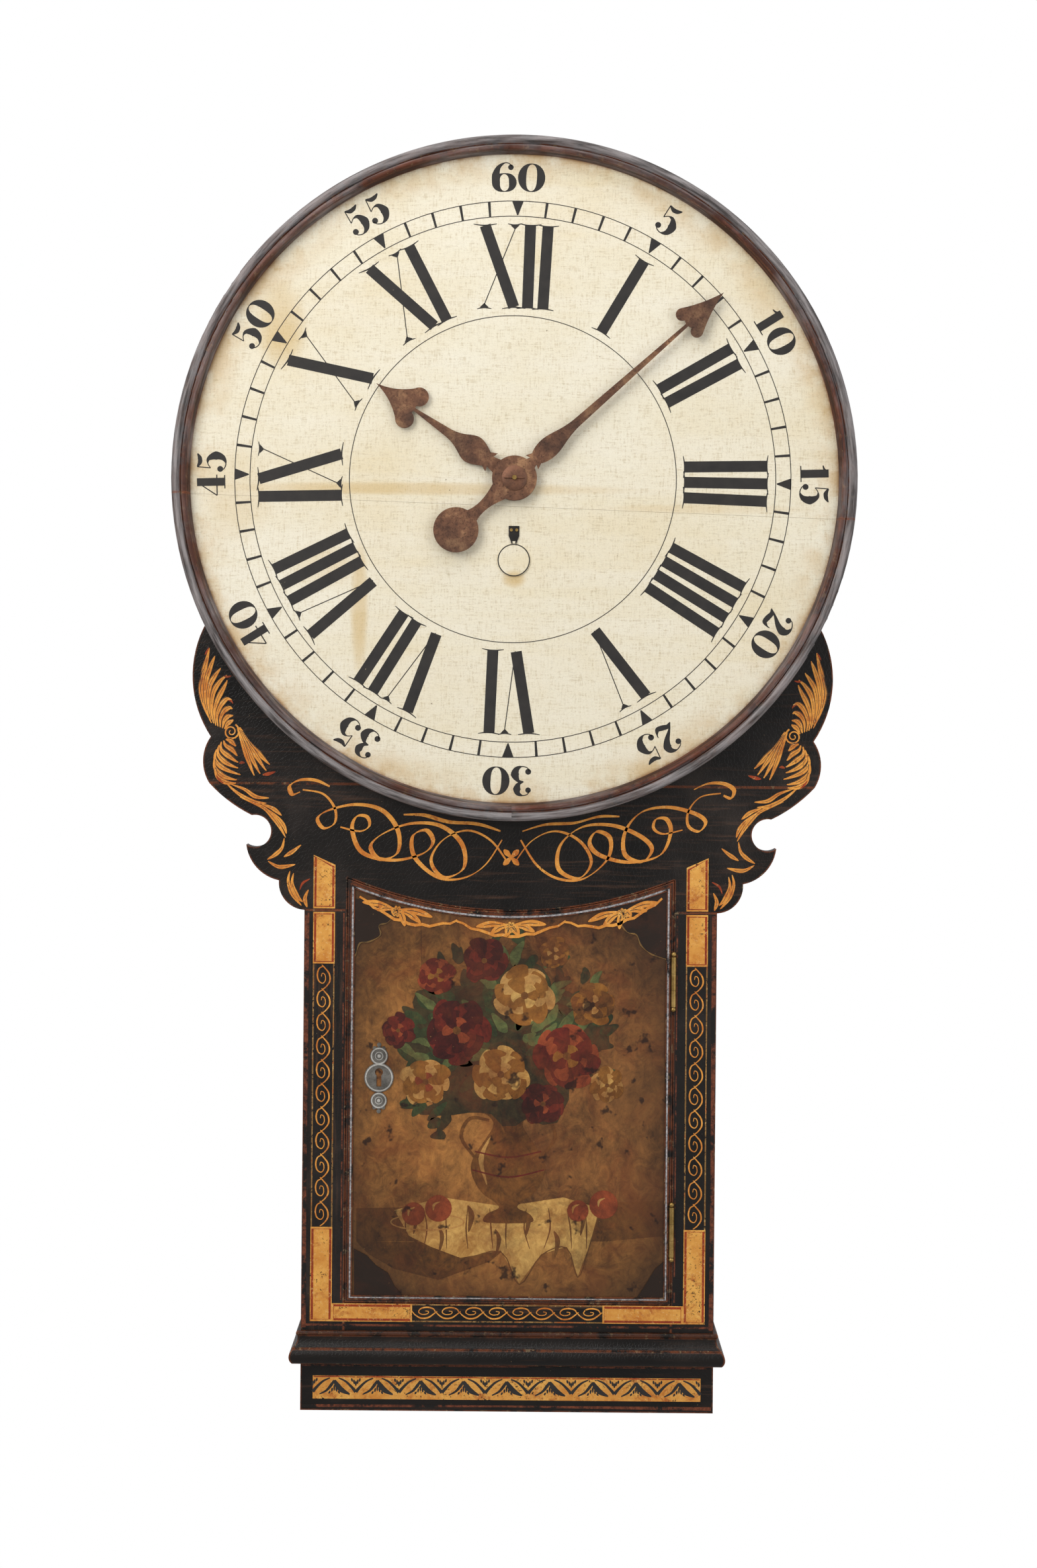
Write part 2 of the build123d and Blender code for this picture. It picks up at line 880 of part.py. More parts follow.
# Turned pillars, riveted in the back plate and pinned in front of the front plate
pin_depth = plate_front + 1.2 + pin_radius
with BuildPart() as pillars:
    for x, height in pillar_places:
        with BuildSketch(Plane.XY.offset(up(height))) as section:
            with BuildLine():
                middle = (plate_inner + back_plate_front) / 2
                Polyline(
                    (x, -middle),
                    (x, -back_plate_back),
                    (x + spigot_radius, -back_plate_back),
                    (x + spigot_radius, -back_plate_front),
                    (x + pillar_radius + 1.5, -back_plate_front),
                    (x + pillar_radius + 1.5, -back_plate_front - 3),
                    (x + pillar_radius - 1, -back_plate_front - 5),
                    (x + pillar_radius - 1, -middle + 6),
                    (x + pillar_radius + 1.5, -middle + 2.5),
                    (x + pillar_radius + 1.5, -middle - 2.5),
                    (x + pillar_radius - 1, -middle - 6),
                    (x + pillar_radius - 1, -plate_inner + 5),
                    (x + pillar_radius + 1.5, -plate_inner + 3),
                    (x + pillar_radius + 1.5, -plate_inner),
                    (x + spigot_radius, -plate_inner),
                    (x + spigot_radius, -plate_front - 5),
                    (x, -plate_front - 5),
                    (x, -middle),
                )
            make_face()
        revolve(section.sketch, axis=Axis((x, 0, up(height)), (0, 1, 0)), revolution_arc=360)
        cross_bar(x - 5, x + 5, height, pin_depth, pin_radius + seated_gap, Mode.SUBTRACT)
        if height == pillar_foot_height:
            post(
                x, seat_bolt_depth, height - 9, height, seat_bolt_radius + seated_gap, Mode.SUBTRACT
            )
save(pillars, "pillars")

with BuildPart() as pillar_pins:
    for x, height in pillar_places:
        cross_bar(x - pin_length / 2, x + pin_length / 2, height, pin_depth, pin_radius)
save(pillar_pins, "pillar_pins")

# Bridge over the cannon wheel; the hour wheel turns on its pipe
cannon_back = plate_front + 1.6
cannon_front = cannon_back + 1.8
bridge_back = plate_front + 5.5
bridge_front = bridge_back + 2.5
cannon_pipe_radius = 4.4
bridge_pipe_radius = 5.6
hour_pipe_radius = 7
with BuildPart() as hour_bridge:
    panel(-7, 7, dial_height - 33, dial_height + 33, bridge_back, bridge_front)
    for low in (dial_height - 33, dial_height + 23):
        panel(-7, 7, low, low + 10, plate_front, bridge_back)
    rod(0, dial_height, bridge_pipe_radius, bridge_back, dial_front + 1)
    rod(
        0,
        dial_height,
        cannon_pipe_radius + running_gap,
        bridge_back,
        dial_front + 1,
        Mode.SUBTRACT,
    )
    for hand in (-1, 1):
        rod(
            0,
            dial_height + hand * bridge_screw_reach,
            plate_screw_radius + seated_gap,
            plate_front,
            bridge_front,
            Mode.SUBTRACT,
        )
save(hour_bridge, "hour_bridge")

# Back cock: two feet on the back plate and a block that holds the anchor pivot and the pendulum
cock_back = pendulum_depth - 8
cock_front = pendulum_depth + 12
with BuildPart() as back_cock:
    for hand in (-1, 1):
        ends = sorted((hand * 12, hand * 24))
        panel(
            ends[0], ends[1], cock_low, cock_high, back_plate_back - 3, back_plate_back
        )
        ends = sorted((hand * 12, hand * 15))
        panel(ends[0], ends[1], cock_low, cock_high, cock_back, back_plate_back)
    panel(-12, 12, cock_low, anchor_height + 8.7, cock_back, cock_front)
    panel(
        -0.9,
        0.9,
        cock_low,
        cock_high,
        pendulum_depth - strip_width / 2 - 0.5,
        pendulum_depth + strip_width / 2 + 0.5,
        Mode.SUBTRACT,
    )
    rod(0, anchor_height, pivot_radius + running_gap, cock_front - 5, cock_front, Mode.SUBTRACT)
    for hand in (-1, 1):
        rod(
            hand * cock_screw_x,
            anchor_height,
            plate_screw_radius + seated_gap,
            back_plate_back - 3,
            back_plate_back,
            Mode.SUBTRACT,
        )
save(back_cock, "back_cock")

# Screws of the movement: bridge, cock and the bolts up through the seat board
with BuildPart() as movement_screws:
    for hand in (-1, 1):
        height = dial_height + hand * bridge_screw_reach
        rod(0, height, plate_screw_radius, plate_inner, bridge_front)
        rod(0, height, plate_screw_head, bridge_front, bridge_front + 0.9)
        cock_foot_back = back_plate_back - 3
        cock_screw = (hand * cock_screw_x, anchor_height)
        rod(*cock_screw, plate_screw_radius, cock_foot_back, back_plate_front)
        rod(*cock_screw, plate_screw_head, cock_foot_back - 2, cock_foot_back)
        post(
            hand * pillar_foot_x,
            seat_bolt_depth,
            seat_top - seat_thick,
            pillar_foot_height - 0.5,
            seat_bolt_radius,
        )
        post(
            hand * pillar_foot_x,
            seat_bolt_depth,
            seat_top - seat_thick - 3,
            seat_top - seat_thick,
            6,
        )
save(movement_screws, "movement_screws")


# Shared pieces of the train arbors
def arbor(place, back=back_plate_front, front=plate_inner):
    rod(*place, train_arbor_radius, back + end_shake, front - end_shake)
    rod(*place, pivot_radius, back - plate_thick, back + end_shake)
    rod(*place, pivot_radius, front - end_shake, front + plate_thick)


def train_wheel(place, next_place, teeth, module, back, thick=wheel_thick):
    points = tooth_points(teeth, module, False, facing(place, next_place))
    toothed(*place, points, back, back + thick)
    rim = teeth * module / 2 - 1.15 * module - 3
    crossings(*place, rim, 7, back, back + thick)


def pinion(place, driver_place, leaves, module, middle):
    phase = facing(place, driver_place) + 180 / leaves
    points = tooth_points(leaves, module, True, phase)
    toothed(*place, points, middle - pinion_length / 2, middle + pinion_length / 2)


with BuildPart() as second_wheel:
    arbor(second_place)
    train_wheel(second_place, centre_place, second_teeth, second_module, second_back)
    pinion(
        second_place,
        barrel_place,
        second_pinion_leaves,
        great_module,
        great_back + great_thick / 2,
    )
save(second_wheel, "second_wheel")

# The centre arbor carries on through the dial, to the pin that holds the hands
washer_back = minute_hand_depth + hand_thick + 0.2
washer_front = washer_back + 3
pin_radius_hands = 0.9
hands_pin_depth = washer_front + 0.2 + pin_radius_hands
with BuildPart() as centre_wheel:
    rod(*centre_place, arbor_radius, back_plate_front + end_shake, hands_pin_depth + 3)
    rod(*centre_place, pivot_radius, back_plate_back, back_plate_front + end_shake)
    train_wheel(centre_place, third_place, centre_teeth, centre_module, centre_back)
    pinion(
        centre_place,
        second_place,
        centre_pinion_leaves,
        second_module,
        second_back + wheel_thick / 2,
    )
    cross_bar(-5, 5, dial_height, hands_pin_depth, pin_radius_hands + seated_gap, Mode.SUBTRACT)
save(centre_wheel, "centre_wheel")

with BuildPart() as third_wheel:
    arbor(third_place)
    train_wheel(third_place, escape_place, third_teeth, third_module, third_back)
    pinion(
        third_place,
        centre_place,
        third_pinion_leaves,
        centre_module,
        centre_back + wheel_thick / 2,
    )
save(third_wheel, "third_wheel")

# Escape wheel: pointed teeth, leaning the way that the wheel turns
with BuildPart() as escape_wheel:
    arbor(escape_place)
    points = []
    for tooth in range(escape_teeth):
        lead = 2 * math.pi * tooth / escape_teeth + math.radians(escape_phase)
        for radius, turn in (
            (escape_radius - 3.4, -0.115),
            (escape_radius, -0.018),
            (escape_radius, 0),
            (escape_radius - 3.4, -0.035),
        ):
            points.append((radius * math.sin(lead + turn), radius * math.cos(lead + turn)))
    toothed(*escape_place, points, escape_back, escape_back + wheel_thick)
    crossings(*escape_place, escape_radius - 5.6, 5.5, escape_back, escape_back + wheel_thick)
    pinion(
        escape_place,
        third_place,
        escape_pinion_leaves,
        third_module,
        third_back + wheel_thick / 2,
    )
save(escape_wheel, "escape_wheel")


# Anchor: an arched arm with a pallet at each end, on an arbor that carries the crutch behind
def pallet_corners(side):
    out_x = side * math.sqrt(0.5)
    out_z = math.sqrt(0.5)
    along_x = -side * out_z
    along_z = side * out_x
    low = escape_radius - pallet_depth
    high = escape_radius + pallet_rise
    corners = []
    for reach, half in ((low, pallet_tip_width / 2), (high, pallet_root_width / 2)):
        for turn in (half, -half):
            shift = pallet_trim + turn
            corners.append(
                (
                    out_x * reach + along_x * shift,
                    escape_place[1] + out_z * reach + along_z * shift,
                )
            )
    return (corners[0], corners[1], corners[3], corners[2])


with BuildPart() as anchor:
    anchor_back = escape_back - 2
    with BuildSketch(wall_plane(anchor_back)) as crown:
        with BuildLine():
            outer_end = (anchor_half_span, up(anchor_height - anchor_drop))
            inner_end = (
                anchor_half_span - anchor_arm_width,
                up(anchor_height - anchor_drop - 0.7),
            )
            ThreePointArc(
                (-outer_end[0], outer_end[1]), (0, up(anchor_height + anchor_crown)), outer_end
            )
            Line(outer_end, inner_end)
            ThreePointArc(
                inner_end, (0, up(anchor_height + anchor_crown - 8)), (-inner_end[0], inner_end[1])
            )
            Line((-inner_end[0], inner_end[1]), (-outer_end[0], outer_end[1]))
        make_face()
        for side in (-1, 1):
            corners = [(x, up(height)) for x, height in pallet_corners(side)]
            Polygon(*corners, align=None)
    extrude(crown.sketch, amount=anchor_thick)
    rod(*anchor_place, arbor_radius, cock_front + end_shake, plate_inner - end_shake)
    rod(*anchor_place, pivot_radius, cock_front - 4.5, cock_front + end_shake)
    rod(*anchor_place, pivot_radius, plate_inner - end_shake, plate_front)
    crutch_depth = back_plate_back - 7.5
    crutch_foot = anchor_height - crutch_length
    rod(*anchor_place, 5, crutch_depth - 2, crutch_depth + 2)
    post(0, crutch_depth, crutch_foot, anchor_height - 2, 1.5)
    panel(-1.5, 1.5, crutch_foot - 1.5, crutch_foot + 1.5, pendulum_depth + 6, crutch_depth + 1.5)
    panel(-6, 6, crutch_foot - 2, crutch_foot + 2, pendulum_depth - 6, pendulum_depth + 8)
    panel(
        -rod_radius - 0.3,
        rod_radius + 0.3,
        crutch_foot - 3,
        crutch_foot + 3,
        pendulum_depth - 7,
        pendulum_depth + 4,
        Mode.SUBTRACT,
    )
save(anchor, "anchor")

# Great wheel, free on the barrel arbor
with BuildPart() as great_wheel:
    points = tooth_points(great_teeth, great_module, False, facing(barrel_place, second_place))
    toothed(*barrel_place, points, great_back, great_back + great_thick)
    rod(*barrel_place, 9, great_back + great_thick, great_back + great_thick + 2)
    rod(
        *barrel_place,
        barrel_arbor_radius + running_gap,
        great_back,
        great_back + great_thick + 2,
        Mode.SUBTRACT,
    )
save(great_wheel, "great_wheel")

# Click and its bow spring on the back of the great wheel, the nose riding at a ratchet tip
click_back = great_back - 2.6
ratchet_front = great_back - end_shake
flange_front = ratchet_front - 2.7
with BuildPart() as click:
    click_plane = Plane(
        origin=(0, -click_back, up(winding_height)), x_dir=(1, 0, 0), z_dir=(0, -1, 0)
    )
    with BuildSketch(click_plane) as outline:
        with BuildLine():
            Polyline(
                (-24, 21),
                (-31, 16),
                (-30, 8),
                (-20.4, 1.2),
                (-20.8, 5.2),
                (-22.6, 9.5),
                (-24, 21),
            )
        make_face()
    extrude(outline.sketch, amount=great_back - click_back)
    with BuildSketch(click_plane.offset(0.6)) as spring:
        with BuildLine():
            CenterArc((0, 0), 34.5, 152, 83)
            CenterArc((0, 0), 33.5, 152, 83)
            for turn in (152, 235):
                ray = (math.cos(math.radians(turn)), math.sin(math.radians(turn)))
                Line((33.5 * ray[0], 33.5 * ray[1]), (34.5 * ray[0], 34.5 * ray[1]))
        make_face()
    extrude(spring.sketch, amount=great_back - click_back - 0.6)
save(click, "click")

# Barrel with its flanges; the ratchet is cut on the front flange
drum_back = back_plate_front + 10 + flange_thick
with BuildPart() as barrel:
    rod(*barrel_place, flange_radius, drum_back - flange_thick, drum_back)
    rod(*barrel_place, drum_radius, drum_back, flange_front - flange_thick)
    rod(*barrel_place, flange_radius, flange_front - flange_thick, flange_front)
    points = []
    for tooth in range(ratchet_teeth):
        lead = 2 * math.pi * tooth / ratchet_teeth
        for radius, turn in ((ratchet_radius - 2.6, 0), (ratchet_radius, 0.02)):
            points.append((radius * math.cos(lead + turn), radius * math.sin(lead + turn)))
    toothed(*barrel_place, points, flange_front, ratchet_front)
    rod(
        *barrel_place,
        barrel_arbor_radius + seated_gap,
        drum_back - flange_thick,
        ratchet_front,
        Mode.SUBTRACT,
    )
save(barrel, "barrel")

# Barrel arbor, squared in front for the winding key
square_back = plate_front + 4
square_front = dial_front - 7
with BuildPart() as barrel_arbor:
    rod(
        *barrel_place,
        barrel_arbor_radius,
        back_plate_front + end_shake,
        plate_inner - end_shake,
    )
    rod(*barrel_place, spigot_radius, back_plate_back, back_plate_front + end_shake)
    rod(*barrel_place, barrel_pivot_radius, plate_inner - end_shake, square_back)
    panel(
        -barrel_square / 2,
        barrel_square / 2,
        winding_height - barrel_square / 2,
        winding_height + barrel_square / 2,
        square_back,
        square_front,
    )
    chamfer(barrel_arbor.edges().filter_by(GeomType.LINE).group_by(Axis.Y)[0], length=1)
save(barrel_arbor, "barrel_arbor")

# Turns of gut line on the drum, in half-turn arcs from the back flange to the fall
with BuildPart() as barrel_line:
    half_turns = int(2 * line_turns)
    with BuildLine() as coil:
        for half in range(half_turns):
            ends = []
            for part_turn in (0, 0.5, 1):
                turns = (half + part_turn) / 2
                angle = 2 * math.pi * turns
                ends.append(
                    (
                        line_centre_radius * math.cos(angle),
                        -(line_depth - line_pitch * turns),
                        up(winding_height) + line_centre_radius * math.sin(angle),
                    )
                )
            ThreePointArc(*ends)
    start = Plane(
        origin=(line_centre_radius, -line_depth, up(winding_height)),
        z_dir=coil.edges().sort_by_distance((line_centre_radius, -line_depth, up(winding_height)))[0]
        % 0,
    )
    with BuildSketch(start) as section:
        Circle(line_radius)
    sweep(section.sketch, path=coil.wires()[0])
save(barrel_line, "barrel_line")

# The gut line from the drum down, round the pulley and up to its knot on the seat board
weight_top = weight_foot + weight_length
eye_height = weight_top + 16
link_height = eye_height + 11
pulley_height = link_height + 41
with BuildPart() as gut_line:
    right_x = line_centre_radius + 2 * pulley_line_radius
    line_start = winding_height - 0.3
    with BuildLine() as route:
        Line(
            (line_centre_radius, -line_depth, up(line_start)),
            (line_centre_radius, -line_depth, up(pulley_height)),
        )
        ThreePointArc(
            (line_centre_radius, -line_depth, up(pulley_height)),
            (pulley_x, -line_depth, up(pulley_height - pulley_line_radius)),
            (right_x, -line_depth, up(pulley_height)),
        )
        Line(
            (right_x, -line_depth, up(pulley_height)),
            (right_x, -line_depth, up(seat_top + 1)),
        )
    with BuildSketch(
        Plane(origin=(line_centre_radius, -line_depth, up(line_start)), z_dir=(0, 0, -1))
    ):
        Circle(line_radius)
    sweep(path=route.wires()[0])
    with Locations((right_x, -line_depth, up(seat_top + 3.4))):
        Sphere(knot_radius)
save(gut_line, "gut_line")

# Pulley and the stirrup that hangs from it
with BuildPart() as pulley:
    with BuildSketch(Plane.XY.offset(up(pulley_height))) as section:
        with BuildLine():
            groove = pulley_x + pulley_line_radius - line_radius - groove_gap
            rim = pulley_x + pulley_rim_radius
            half = pulley_width / 2
            bore = pulley_x + pulley_pin_radius + running_gap
            Polyline(
                (groove, -line_depth + line_radius),
                (groove, -line_depth - line_radius),
                (rim, -line_depth - half + 1),
                (rim, -line_depth - half),
                (bore, -line_depth - half),
                (bore, -line_depth + half),
                (rim, -line_depth + half),
                (rim, -line_depth + half - 1),
                (groove, -line_depth + line_radius),
            )
        make_face()
    revolve(
        section.sketch,
        axis=Axis((pulley_x, 0, up(pulley_height)), (0, 1, 0)),
        revolution_arc=360,
    )
save(pulley, "pulley")


def ring(height, ring_radius, wire_radius, across):
    plane = Plane(
        origin=(pulley_x, -line_depth, up(height)),
        x_dir=(0, 0, 1),
        z_dir=across,
    )
    add(plane * Torus(ring_radius, wire_radius, mode=Mode.PRIVATE))


with BuildPart() as pulley_stirrup:
    cheek_gap = pulley_width / 2 + end_shake
    for hand in (-1, 1):
        cheek = sorted((line_depth + hand * cheek_gap, line_depth + hand * (cheek_gap + 1.6)))
        with BuildSketch(wall_plane(cheek[0])) as outline:
            with Locations((pulley_x, up(pulley_height))):
                Circle(7)
            with Locations((pulley_x, up((pulley_height + link_height + 8) / 2))):
                Rectangle(11, pulley_height - link_height - 8)
        extrude(outline.sketch, amount=cheek[1] - cheek[0])
    panel(
        pulley_x - 5.5,
        pulley_x + 5.5,
        link_height + 8,
        link_height + 12,
        line_depth - cheek_gap - 1.6,
        line_depth + cheek_gap + 1.6,
    )
    rod(
        pulley_x,
        pulley_height,
        pulley_pin_radius,
        line_depth - cheek_gap - 2.4,
        line_depth + cheek_gap + 2.4,
    )
    ring(link_height, 7.5, 2, (1, 0, 0))
save(pulley_stirrup, "pulley_stirrup")

with BuildPart() as weight:
    with BuildSketch(Plane.XZ) as section:
        with BuildLine():
            Polyline(
                (0, up(weight_top + 8)),
                (0, up(weight_foot)),
                (weight_radius - 3, up(weight_foot)),
                (weight_radius, up(weight_foot + 3)),
                (weight_radius, up(weight_top - 4)),
                (weight_radius - 4, up(weight_top)),
                (5, up(weight_top + 4)),
                (3, up(weight_top + 8)),
                (0, up(weight_top + 8)),
            )
        make_face()
    lathe = revolve(section.sketch, axis=Axis.Z, revolution_arc=360, mode=Mode.PRIVATE)
    add(Pos(pulley_x, -line_depth, 0) * lathe)
    ring(eye_height, 8, 2.2, (0, 1, 0))
save(weight, "weight")

# Pendulum: suspension strip, rod, lenticular bob and rating nut
strip_top = anchor_height + 9.1
rod_head = anchor_height - strip_length
with BuildPart() as suspension_spring:
    panel(
        -strip_thick / 2,
        strip_thick / 2,
        rod_head,
        strip_top + 3,
        pendulum_depth - strip_width / 2,
        pendulum_depth + strip_width / 2,
    )
    panel(-2, 2, strip_top, strip_top + 6, pendulum_depth - 5, pendulum_depth + 5)
save(suspension_spring, "suspension_spring")

nut_top = bob_height - bob_radius - 0.3
with BuildPart() as pendulum_rod:
    panel(-3, 3, rod_head - 10, rod_head, pendulum_depth - 5, pendulum_depth + 5)
    post(0, pendulum_depth, nut_top - 20, rod_head - 8, rod_radius)
save(pendulum_rod, "pendulum_rod")

with BuildPart() as bob:
    half = bob_thick / 2
    with BuildSketch(Plane.XY.offset(up(bob_height))) as section:
        with BuildLine():
            ThreePointArc(
                (0, -pendulum_depth - half),
                (bob_radius * 0.55, -pendulum_depth - half * 0.68),
                (bob_radius, -pendulum_depth - 1.2),
            )
            Line((bob_radius, -pendulum_depth - 1.2), (bob_radius, -pendulum_depth + 1.2))
            ThreePointArc(
                (bob_radius, -pendulum_depth + 1.2),
                (bob_radius * 0.55, -pendulum_depth + half * 0.68),
                (0, -pendulum_depth + half),
            )
            Line((0, -pendulum_depth + half), (0, -pendulum_depth - half))
        make_face()
    revolve(section.sketch, axis=Axis((0, 0, up(bob_height)), (0, 1, 0)), revolution_arc=360)
    post(
        0,
        pendulum_depth,
        bob_height - bob_radius - 1,
        bob_height + bob_radius + 1,
        rod_radius + seated_gap,
        Mode.SUBTRACT,
    )
save(bob, "bob")

with BuildPart() as rating_nut:
    with BuildSketch(Plane.XY.offset(up(nut_top - 6))):
        with Locations((0, -pendulum_depth)):
            RegularPolygon(8, 8)
            Circle(rod_radius + seated_gap, mode=Mode.SUBTRACT)
    extrude(amount=6)
save(rating_nut, "rating_nut")

# Motion work: cannon wheel, minute wheel and hour wheel
with BuildPart() as cannon_wheel:
    points = tooth_points(cannon_teeth, cannon_module, False, 0)
    toothed(*centre_place, points, cannon_back, cannon_front)
    rod(*centre_place, cannon_pipe_radius, cannon_front, minute_hand_depth + hand_thick)
    rod(
        *centre_place,
        arbor_radius + running_gap,
        cannon_back,
        minute_hand_depth + hand_thick,
        Mode.SUBTRACT,
    )
save(cannon_wheel, "cannon_wheel")

hour_back = bridge_front + 1.5
hour_front = hour_back + 1.8
with BuildPart() as minute_wheel:
    points = tooth_points(cannon_teeth, cannon_module, False, 180 + 180 / cannon_teeth)
    toothed(*minute_place, points, cannon_back, cannon_front)
    points = tooth_points(minute_pinion_leaves, hour_module, True, 180 + 180 / minute_pinion_leaves)
    toothed(*minute_place, points, cannon_front, hour_front + 0.8)
    rod(
        *minute_place,
        pivot_radius + running_gap,
        cannon_back,
        hour_front + 0.8,
        Mode.SUBTRACT,
    )
save(minute_wheel, "minute_wheel")

with BuildPart() as hour_wheel:
    points = tooth_points(hour_teeth, hour_module, False, 0)
    toothed(*centre_place, points, hour_back, hour_front)
    rod(*centre_place, hour_pipe_radius, hour_front, hour_hand_depth + hand_thick)
    rod(
        *centre_place,
        bridge_pipe_radius + running_gap,
        hour_back,
        hour_hand_depth + hand_thick,
        Mode.SUBTRACT,
    )
save(hour_wheel, "hour_wheel")


# Hands: a leaf beyond a barbed collar, a slender stem and a spade tip
def hand_plane(angle, depth):
    turn = math.radians(angle)
    return Plane(
        origin=(0, -depth, up(dial_height)),
        x_dir=(math.sin(turn), 0, math.cos(turn)),
        z_dir=(0, -1, 0),
    )


def hand_blade(plane, size):
    lobe_edge = size["lobe_at"] + size["lobe"] * 0.5
    lobe_side = size["lobe_out"] + size["lobe"] * 0.87
    with BuildSketch(plane) as blade:
        Circle(size["boss"])
        with BuildLine():
            for side in (-1, 1):
                Polyline(
                    (0, side * size["boss"] * 0.55),
                    (size["barb_at"] - 3, side * size["barb"] * 0.52),
                    (size["barb_at"] - 5, side * size["barb"]),
                    (size["barb_at"] + 2, side * size["barb"] * 0.72),
                )
                Spline(
                    (size["barb_at"] + 2, side * size["barb"] * 0.72),
                    (size["leaf_at"], side * size["leaf"]),
                    (size["waist_at"], side * size["waist"]),
                    tangents=((1, side * 0.6), (1, side * -0.05)),
                )
                Line(
                    (size["waist_at"], side * size["waist"]),
                    (size["neck_at"], side * size["neck"]),
                )
            Line((0, -size["boss"] * 0.55), (0, size["boss"] * 0.55))
            Line((size["neck_at"], -size["neck"]), (size["neck_at"], size["neck"]))
        make_face()
        with BuildLine():
            for side in (-1, 1):
                Spline(
                    (size["tip_at"], 0),
                    (size["shoulder_at"], side * size["shoulder"]),
                    (lobe_edge, side * lobe_side),
                )
                Polyline(
                    (lobe_edge, side * lobe_side),
                    (size["lobe_at"], side * size["lobe_out"]),
                    (size["neck_at"] - 2, 0),
                )
        make_face()
        for side in (-1, 1):
            with Locations((size["lobe_at"], side * size["lobe_out"])):
                Circle(size["lobe"])
    return blade.sketch


minute_sizes = {
    "boss": 25,
    "barb_at": 31,
    "barb": 10.5,
    "leaf_at": 46,
    "leaf": 11.5,
    "waist_at": 92,
    "waist": 4.8,
    "neck_at": 258,
    "neck": 1.8,
    "lobe_at": 260,
    "lobe_out": 12.5,
    "lobe": 7,
    "shoulder_at": 283,
    "shoulder": 9,
    "tip_at": 311,
}
hour_sizes = {
    "boss": 25,
    "barb_at": 36,
    "barb": 12.3,
    "leaf_at": 56,
    "leaf": 15.8,
    "waist_at": 92,
    "waist": 4.8,
    "neck_at": 137,
    "neck": 1.6,
    "lobe_at": 138.6,
    "lobe_out": 14.7,
    "lobe": 10.5,
    "shoulder_at": 165,
    "shoulder": 7.5,
    "tip_at": 187,
}
tail_reach = 87
tail_radius = 25.2

with BuildPart() as minute_hand:
    minute_plane = hand_plane(minute_angle, minute_hand_depth)
    extrude(hand_blade(minute_plane, minute_sizes), amount=hand_thick)
    with BuildSketch(minute_plane) as tail:
        with Locations((-tail_reach, 0)):
            Circle(tail_radius)
        with BuildLine():
            Spline((-20, 12), (-38, 6.6), (-56, 6), (-68, 10))
            Line((-68, 10), (-68, -10))
            Spline((-68, -10), (-56, -6), (-38, -6.6), (-20, -12))
            Line((-20, -12), (-20, 12))
        make_face()
    extrude(tail.sketch, amount=hand_thick)
    rod(
        *centre_place,
        cannon_pipe_radius + seated_gap,
        minute_hand_depth,
        minute_hand_depth + hand_thick,
        Mode.SUBTRACT,
    )
save(minute_hand, "minute_hand")

with BuildPart() as hour_hand:
    hour_plane = hand_plane(hour_angle, hour_hand_depth)
    extrude(hand_blade(hour_plane, hour_sizes), amount=hand_thick)
    rod(
        *centre_place,
        hour_pipe_radius + seated_gap,
        hour_hand_depth,
        hour_hand_depth + hand_thick,
        Mode.SUBTRACT,
    )
save(hour_hand, "hour_hand")

# Domed collet washer and the taper pin across the centre arbor
with BuildPart() as hand_washer:
    with BuildSketch(Plane.XY.offset(up(dial_height))) as section:
        with BuildLine():
            bore = arbor_radius + running_gap
            Polyline(
                (bore, -washer_front),
                (bore, -washer_back),
                (washer_radius, -washer_back),
                (washer_radius, -washer_back - 0.8),
            )
            ThreePointArc(
                (washer_radius, -washer_back - 0.8),
                (washer_radius - 4.5, -washer_back - 2.3),
                (bore, -washer_front),
            )
        make_face()
    revolve(section.sketch, axis=Axis((0, 0, up(dial_height)), (0, 1, 0)), revolution_arc=360)
save(hand_washer, "hand_washer")

with BuildPart() as taper_pin:
    half = hands_pin_length / 2
    cross_bar(-half, half, dial_height, hands_pin_depth, pin_radius_hands)
save(taper_pin, "taper_pin")


# Door: top hollowed to the same centre as the dial, with a bead round its face
def door_face(depth, shrink):
    half = door_half_width - shrink
    arc = door_arc_radius + shrink
    corner = dial_height - math.sqrt(arc ** 2 - half ** 2)
    with BuildSketch(wall_plane(depth)) as outline:
        with BuildLine():
            Polyline(
                (-half, up(corner)),
                (-half, up(door_foot + shrink)),
                (half, up(door_foot + shrink)),
                (half, up(corner)),
            )
            ThreePointArc((half, up(corner)), (0, up(dial_height - arc)), (-half, up(corner)))
        make_face()
    return outline.sketch


def keyhole(back, front):
    with BuildSketch(wall_plane(back)) as outline:
        with Locations((lock_x, up(lock_height + 6))):
            Circle(keyhole_radius)
        with Locations((lock_x, up(lock_height - 2))):
            Rectangle(keyhole_slot, 16)
    extrude(outline.sketch, amount=front - back, mode=Mode.SUBTRACT)


# The top is planed to a bevel behind, so that the door clears the apron as it swings
def plane_door_top():
    with BuildSketch(Plane.XY.offset(up(dial_height))) as wedge:
        with BuildLine():
            Polyline(
                (door_arc_radius, -case_depth),
                (door_arc_radius + door_top_bevel, -frame_back),
                (door_arc_radius - door_top_bevel, -frame_back),
                (door_arc_radius - door_top_bevel, -case_depth),
                (door_arc_radius, -case_depth),
            )
        make_face()
    revolve(
        wedge.sketch,
        axis=Axis((0, 0, up(dial_height)), (0, 1, 0)),
        revolution_arc=360,
        mode=Mode.SUBTRACT,
    )


with BuildPart() as door_board:
    extrude(door_face(frame_back, 0), amount=front_thick)
    plane_door_top()
    extrude(door_face(case_depth, bead_inset), amount=bead_height)
    extrude(
        door_face(case_depth, bead_inset + bead_width), amount=bead_height, mode=Mode.SUBTRACT
    )
    hinge_recess(door_half_width - hinge_leaf, door_half_width)
    keyhole(frame_back, case_depth)
save(door_board, "door_board")

